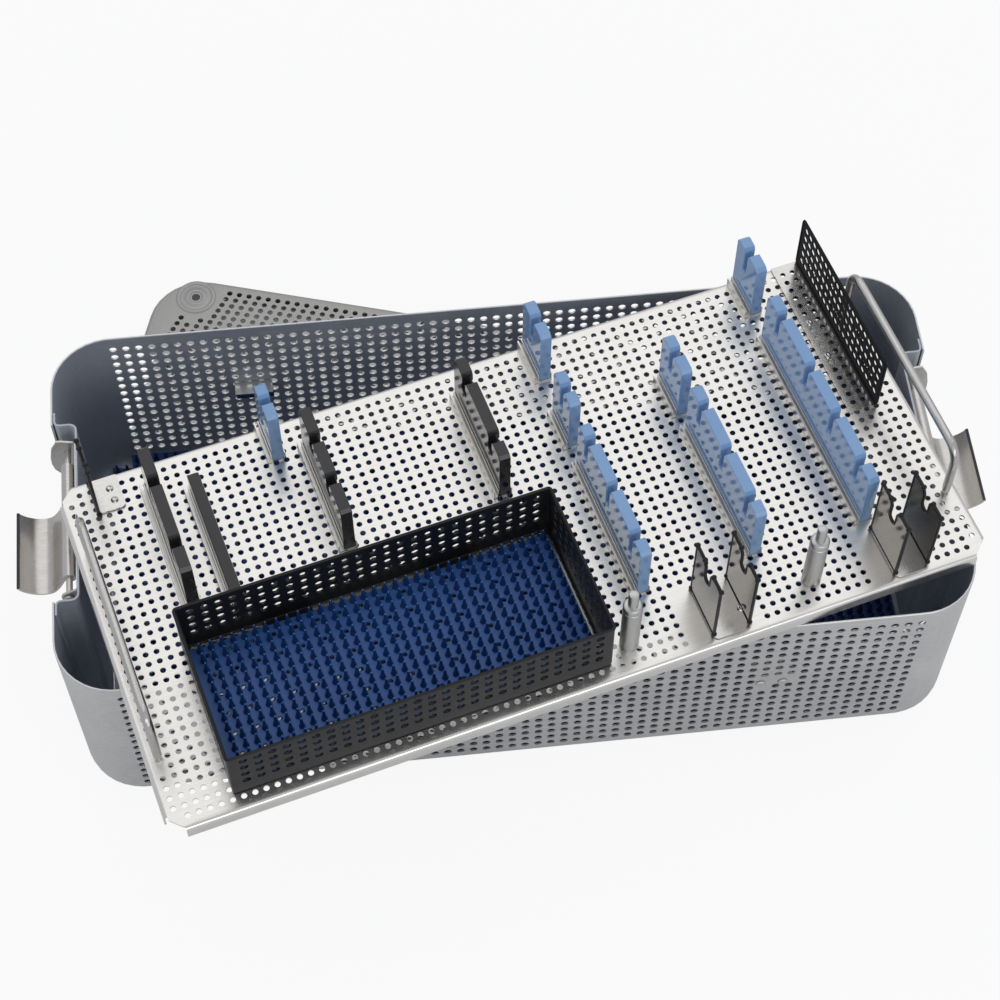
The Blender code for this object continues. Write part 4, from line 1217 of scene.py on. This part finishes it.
# Divider: thin black plate with rows of round holes on a perforated, riveted steel foot.
# Its edge is bound with the same black cord, and its holes line up in six rows.
black_plate = surface(
    "black_coat", (0.007, 0.007, 0.008), (0.013, 0.013, 0.014), (0.30, 0.42), 0.0, 0.0, 1.0,
    1800.0, 0.05, 0.3,
)
DIVIDER_U, DIVIDER_LENGTH, DIVIDER_FOOT, DIVIDER_TOP = 230.3, 116.0, 1.8, 42.7
DIVIDER_PITCH, DIVIDER_ROW, DIVIDER_HOLE, DIVIDER_HALF = 5.5, 7.2, 2.35, 0.5
FOOT_RIVETS = ((217.6, 43.2), (217.6, 69.7))
plate_v = np.concatenate([[0.0], 3.0 + DIVIDER_PITCH * np.arange(21), [DIVIDER_LENGTH]])
plate_z = np.concatenate([[DIVIDER_FOOT], 5.0 + DIVIDER_ROW * np.arange(6), [DIVIDER_TOP]])
state = np.zeros((len(plate_v) - 1, len(plate_z) - 1), int)
state[1:-1, 1:-1] = 1
flat, faces = cells(plate_v, plate_z, state, DIVIDER_HOLE)
front = np.column_stack([np.full(len(flat), DIVIDER_U + DIVIDER_HALF), flat])
back = np.column_stack([np.full(len(flat), DIVIDER_U - DIVIDER_HALF), flat])
points, faces, _ = thicken((front, back, faces))
edge_loop = rounded_outline([
    (0.0, DIVIDER_FOOT, 1.7), (DIVIDER_LENGTH, DIVIDER_FOOT, 1.7),
    (DIVIDER_LENGTH, DIVIDER_TOP, 1.7), (0.0, DIVIDER_TOP, 1.7),
], 0.2, 4)
cord_points, cord_faces = bead(edge_loop, outward_of(edge_loop), 0.3, DIVIDER_U, 1.1, 8)
points, faces = merged(
    (points, listed(faces)), (cord_points[:, (2, 0, 1)], cord_faces.tolist()),
)
divider_look = surface(
    "divider_black", (0.006, 0.006, 0.007), (0.011, 0.011, 0.012), (0.5, 0.62), 0.0, 0.0, 1.0,
    1800.0, 0.05, 0.2,
)
add_piece(
    "divider_sheet", placed(points, TRAY_AT, TRAY_TURN), faces, [divider_look], "tray",
    stands_for=["divider_plate"],
)
foot_u = np.array([212.5, 214.4, 220.8, 227.2, 232.5])
foot_v = np.concatenate([[0.0], 3.2 + 6.4 * np.arange(18), [DIVIDER_LENGTH]])
state = np.zeros((len(foot_u) - 1, len(foot_v) - 1), int)
state[1:3, 1:-1] = 1
for _, rivet_v in FOOT_RIVETS:
    state[1, np.searchsorted(foot_v, rivet_v) - 1] = 0
flat, faces = cells(foot_u, foot_v, state, TRAY_HOLE)
foot_points, foot_faces, _ = thicken((level(flat, 1.5), level(flat, 0.3), faces))
foot_bodies = [(foot_points, listed(foot_faces))]
for rivet in FOOT_RIVETS:
    points, polygons = turned(rivet_profile, 20)
    foot_bodies.append((points + (*rivet, 0.0), polygons))
points, polygons = merged(*foot_bodies)
add_piece(
    "divider_foot_sheet", placed(points, TRAY_AT, TRAY_TURN), polygons, [bright], "tray",
    stands_for=["divider_foot"],
)


# Small parts basket: black coated sheet with four rows of round holes and a rolled rim.
# Its floor is a frame: open under the mat, and in three places along the back wall.
PARTS_AT = (-98.1, -57.4, 0.3)
PARTS_LENGTH, PARTS_WIDTH, PARTS_TOP, PARTS_BEND, PARTS_WALL = 224.0, 98.6, 42.6, 1.8, 1.6
PARTS_PITCH, PARTS_HOLE, PARTS_FLOOR = 8.24, 2.45, 1.0
track = wall_track(PARTS_LENGTH, PARTS_WIDTH, 2.2, PARTS_PITCH, 26, 10)
run, spots, normals, flags = track
lines_t = np.array([0.0, 0.9, PARTS_BEND, 9.58, 17.58, 25.58, 33.58, 41.0, PARTS_TOP])
profile = [
    (0.0, PARTS_BEND, 0.0, 2.4, PARTS_FLOOR), (0.9, 0.5, 0.5, 1.9, 1.2),
    (PARTS_BEND, 0.0, PARTS_BEND, PARTS_WALL, 2.0),
    (PARTS_TOP, 0.0, PARTS_TOP, PARTS_WALL, PARTS_TOP),
]
state = np.zeros((len(run) - 1, len(lines_t) - 1), int)
state[np.ix_(flags == 1, np.arange(3, 7))] = 1
flat, faces = cells(run, lines_t, state, PARTS_HOLE)
wall = wall_skin(track, profile, flat, faces)
loop = (spots - normals * PARTS_BEND)[:-1]
floor_x = np.array([-109.0, -64.8, -35.3, 34.0, 62.7, 109.0])
floor_y = np.array([-46.0, -40.0, 34.0, 46.4])
floor_state = np.zeros((5, 3), int)
floor_state[:, 1] = -1
floor_state[[0, 2, 4], 2] = -1
floor_flat, floor_faces = cells(floor_x, floor_y, floor_state, 1.0)


def parts_covered(points):
    """Which points lie within the frame of the floor."""
    x, y = points[:, 0], points[:, 1]
    return (x > floor_x[0]) & (x < floor_x[-1]) & (y > floor_y[0]) & (y < floor_y[-1])


edge_points, edge_faces = fill_between(
    loop, floor_flat, floor_faces, parts_covered, len(floor_flat),
)
parts_points, parts_faces, _ = thicken(
    wall,
    (level(floor_flat, 0.0), level(floor_flat, PARTS_FLOOR), downward(floor_faces)),
    (level(edge_points, 0.0), level(edge_points, PARTS_FLOOR), downward(edge_faces)),
)

rim_points, rim_faces = bead(spots[:-1], normals[:-1], 0.45, 42.9, 0.95)
points = np.concatenate([parts_points, rim_points])
faces = np.concatenate([parts_faces, rim_faces + len(parts_points)])
points = points + PARTS_AT
add_piece(
    "parts_basket_sheet", placed(points, TRAY_AT, TRAY_TURN), faces, [black_plate],
    "parts_basket", stands_for=["parts_basket_shell"],
)


# Parts mat: blue silicone with fingers and small round holes between every second pair.
MAT_ROW, MAT_SHEET = 6.47, (1.6, 3.6)
along_u, across_v = -201.2 + FINGER_PITCH * np.arange(33), np.arange(14)
mat_u = np.concatenate([[-207.6], along_u, [9.4]])
mat_v = np.concatenate([[-103.6], -18.0 - MAT_ROW * across_v[::-1], [-14.9]])
state = np.zeros((len(mat_u) - 1, len(mat_v) - 1), int)
state[1:-1:2, 1:-1:2] = 1
flat, faces = cells(mat_u, mat_v, state, 1.5)
base = thicken((level(flat, MAT_SHEET[1]), level(flat, MAT_SHEET[0]), faces))
grid_u, grid_v = np.meshgrid(along_u, -17.2 - MAT_ROW * across_v, indexing="ij")
spots_uv = np.column_stack([grid_u.ravel(), grid_v.ravel()])
points, faces, side = mat_body(base, fingers(spots_uv, 3.4, 13.6, 2.1, 8))
light_silicone = surface(
    "mat_blue_light", (0.030, 0.105, 0.34), (0.045, 0.14, 0.42), (0.34, 0.46), 0.0, 0.0,
    1.0, 2600.0, 0.08, 0.4,
)
# Its fingers share the painted shade on their sides and the painted highlight on their tips.
add_piece(
    "parts_finger_mat", placed(points, TRAY_AT, TRAY_TURN), faces,
    [light_silicone, finger_blue_painted_shade, finger_tip_painted_highlight], "parts_basket", side, 50.0,
    ["parts_mat"],
)
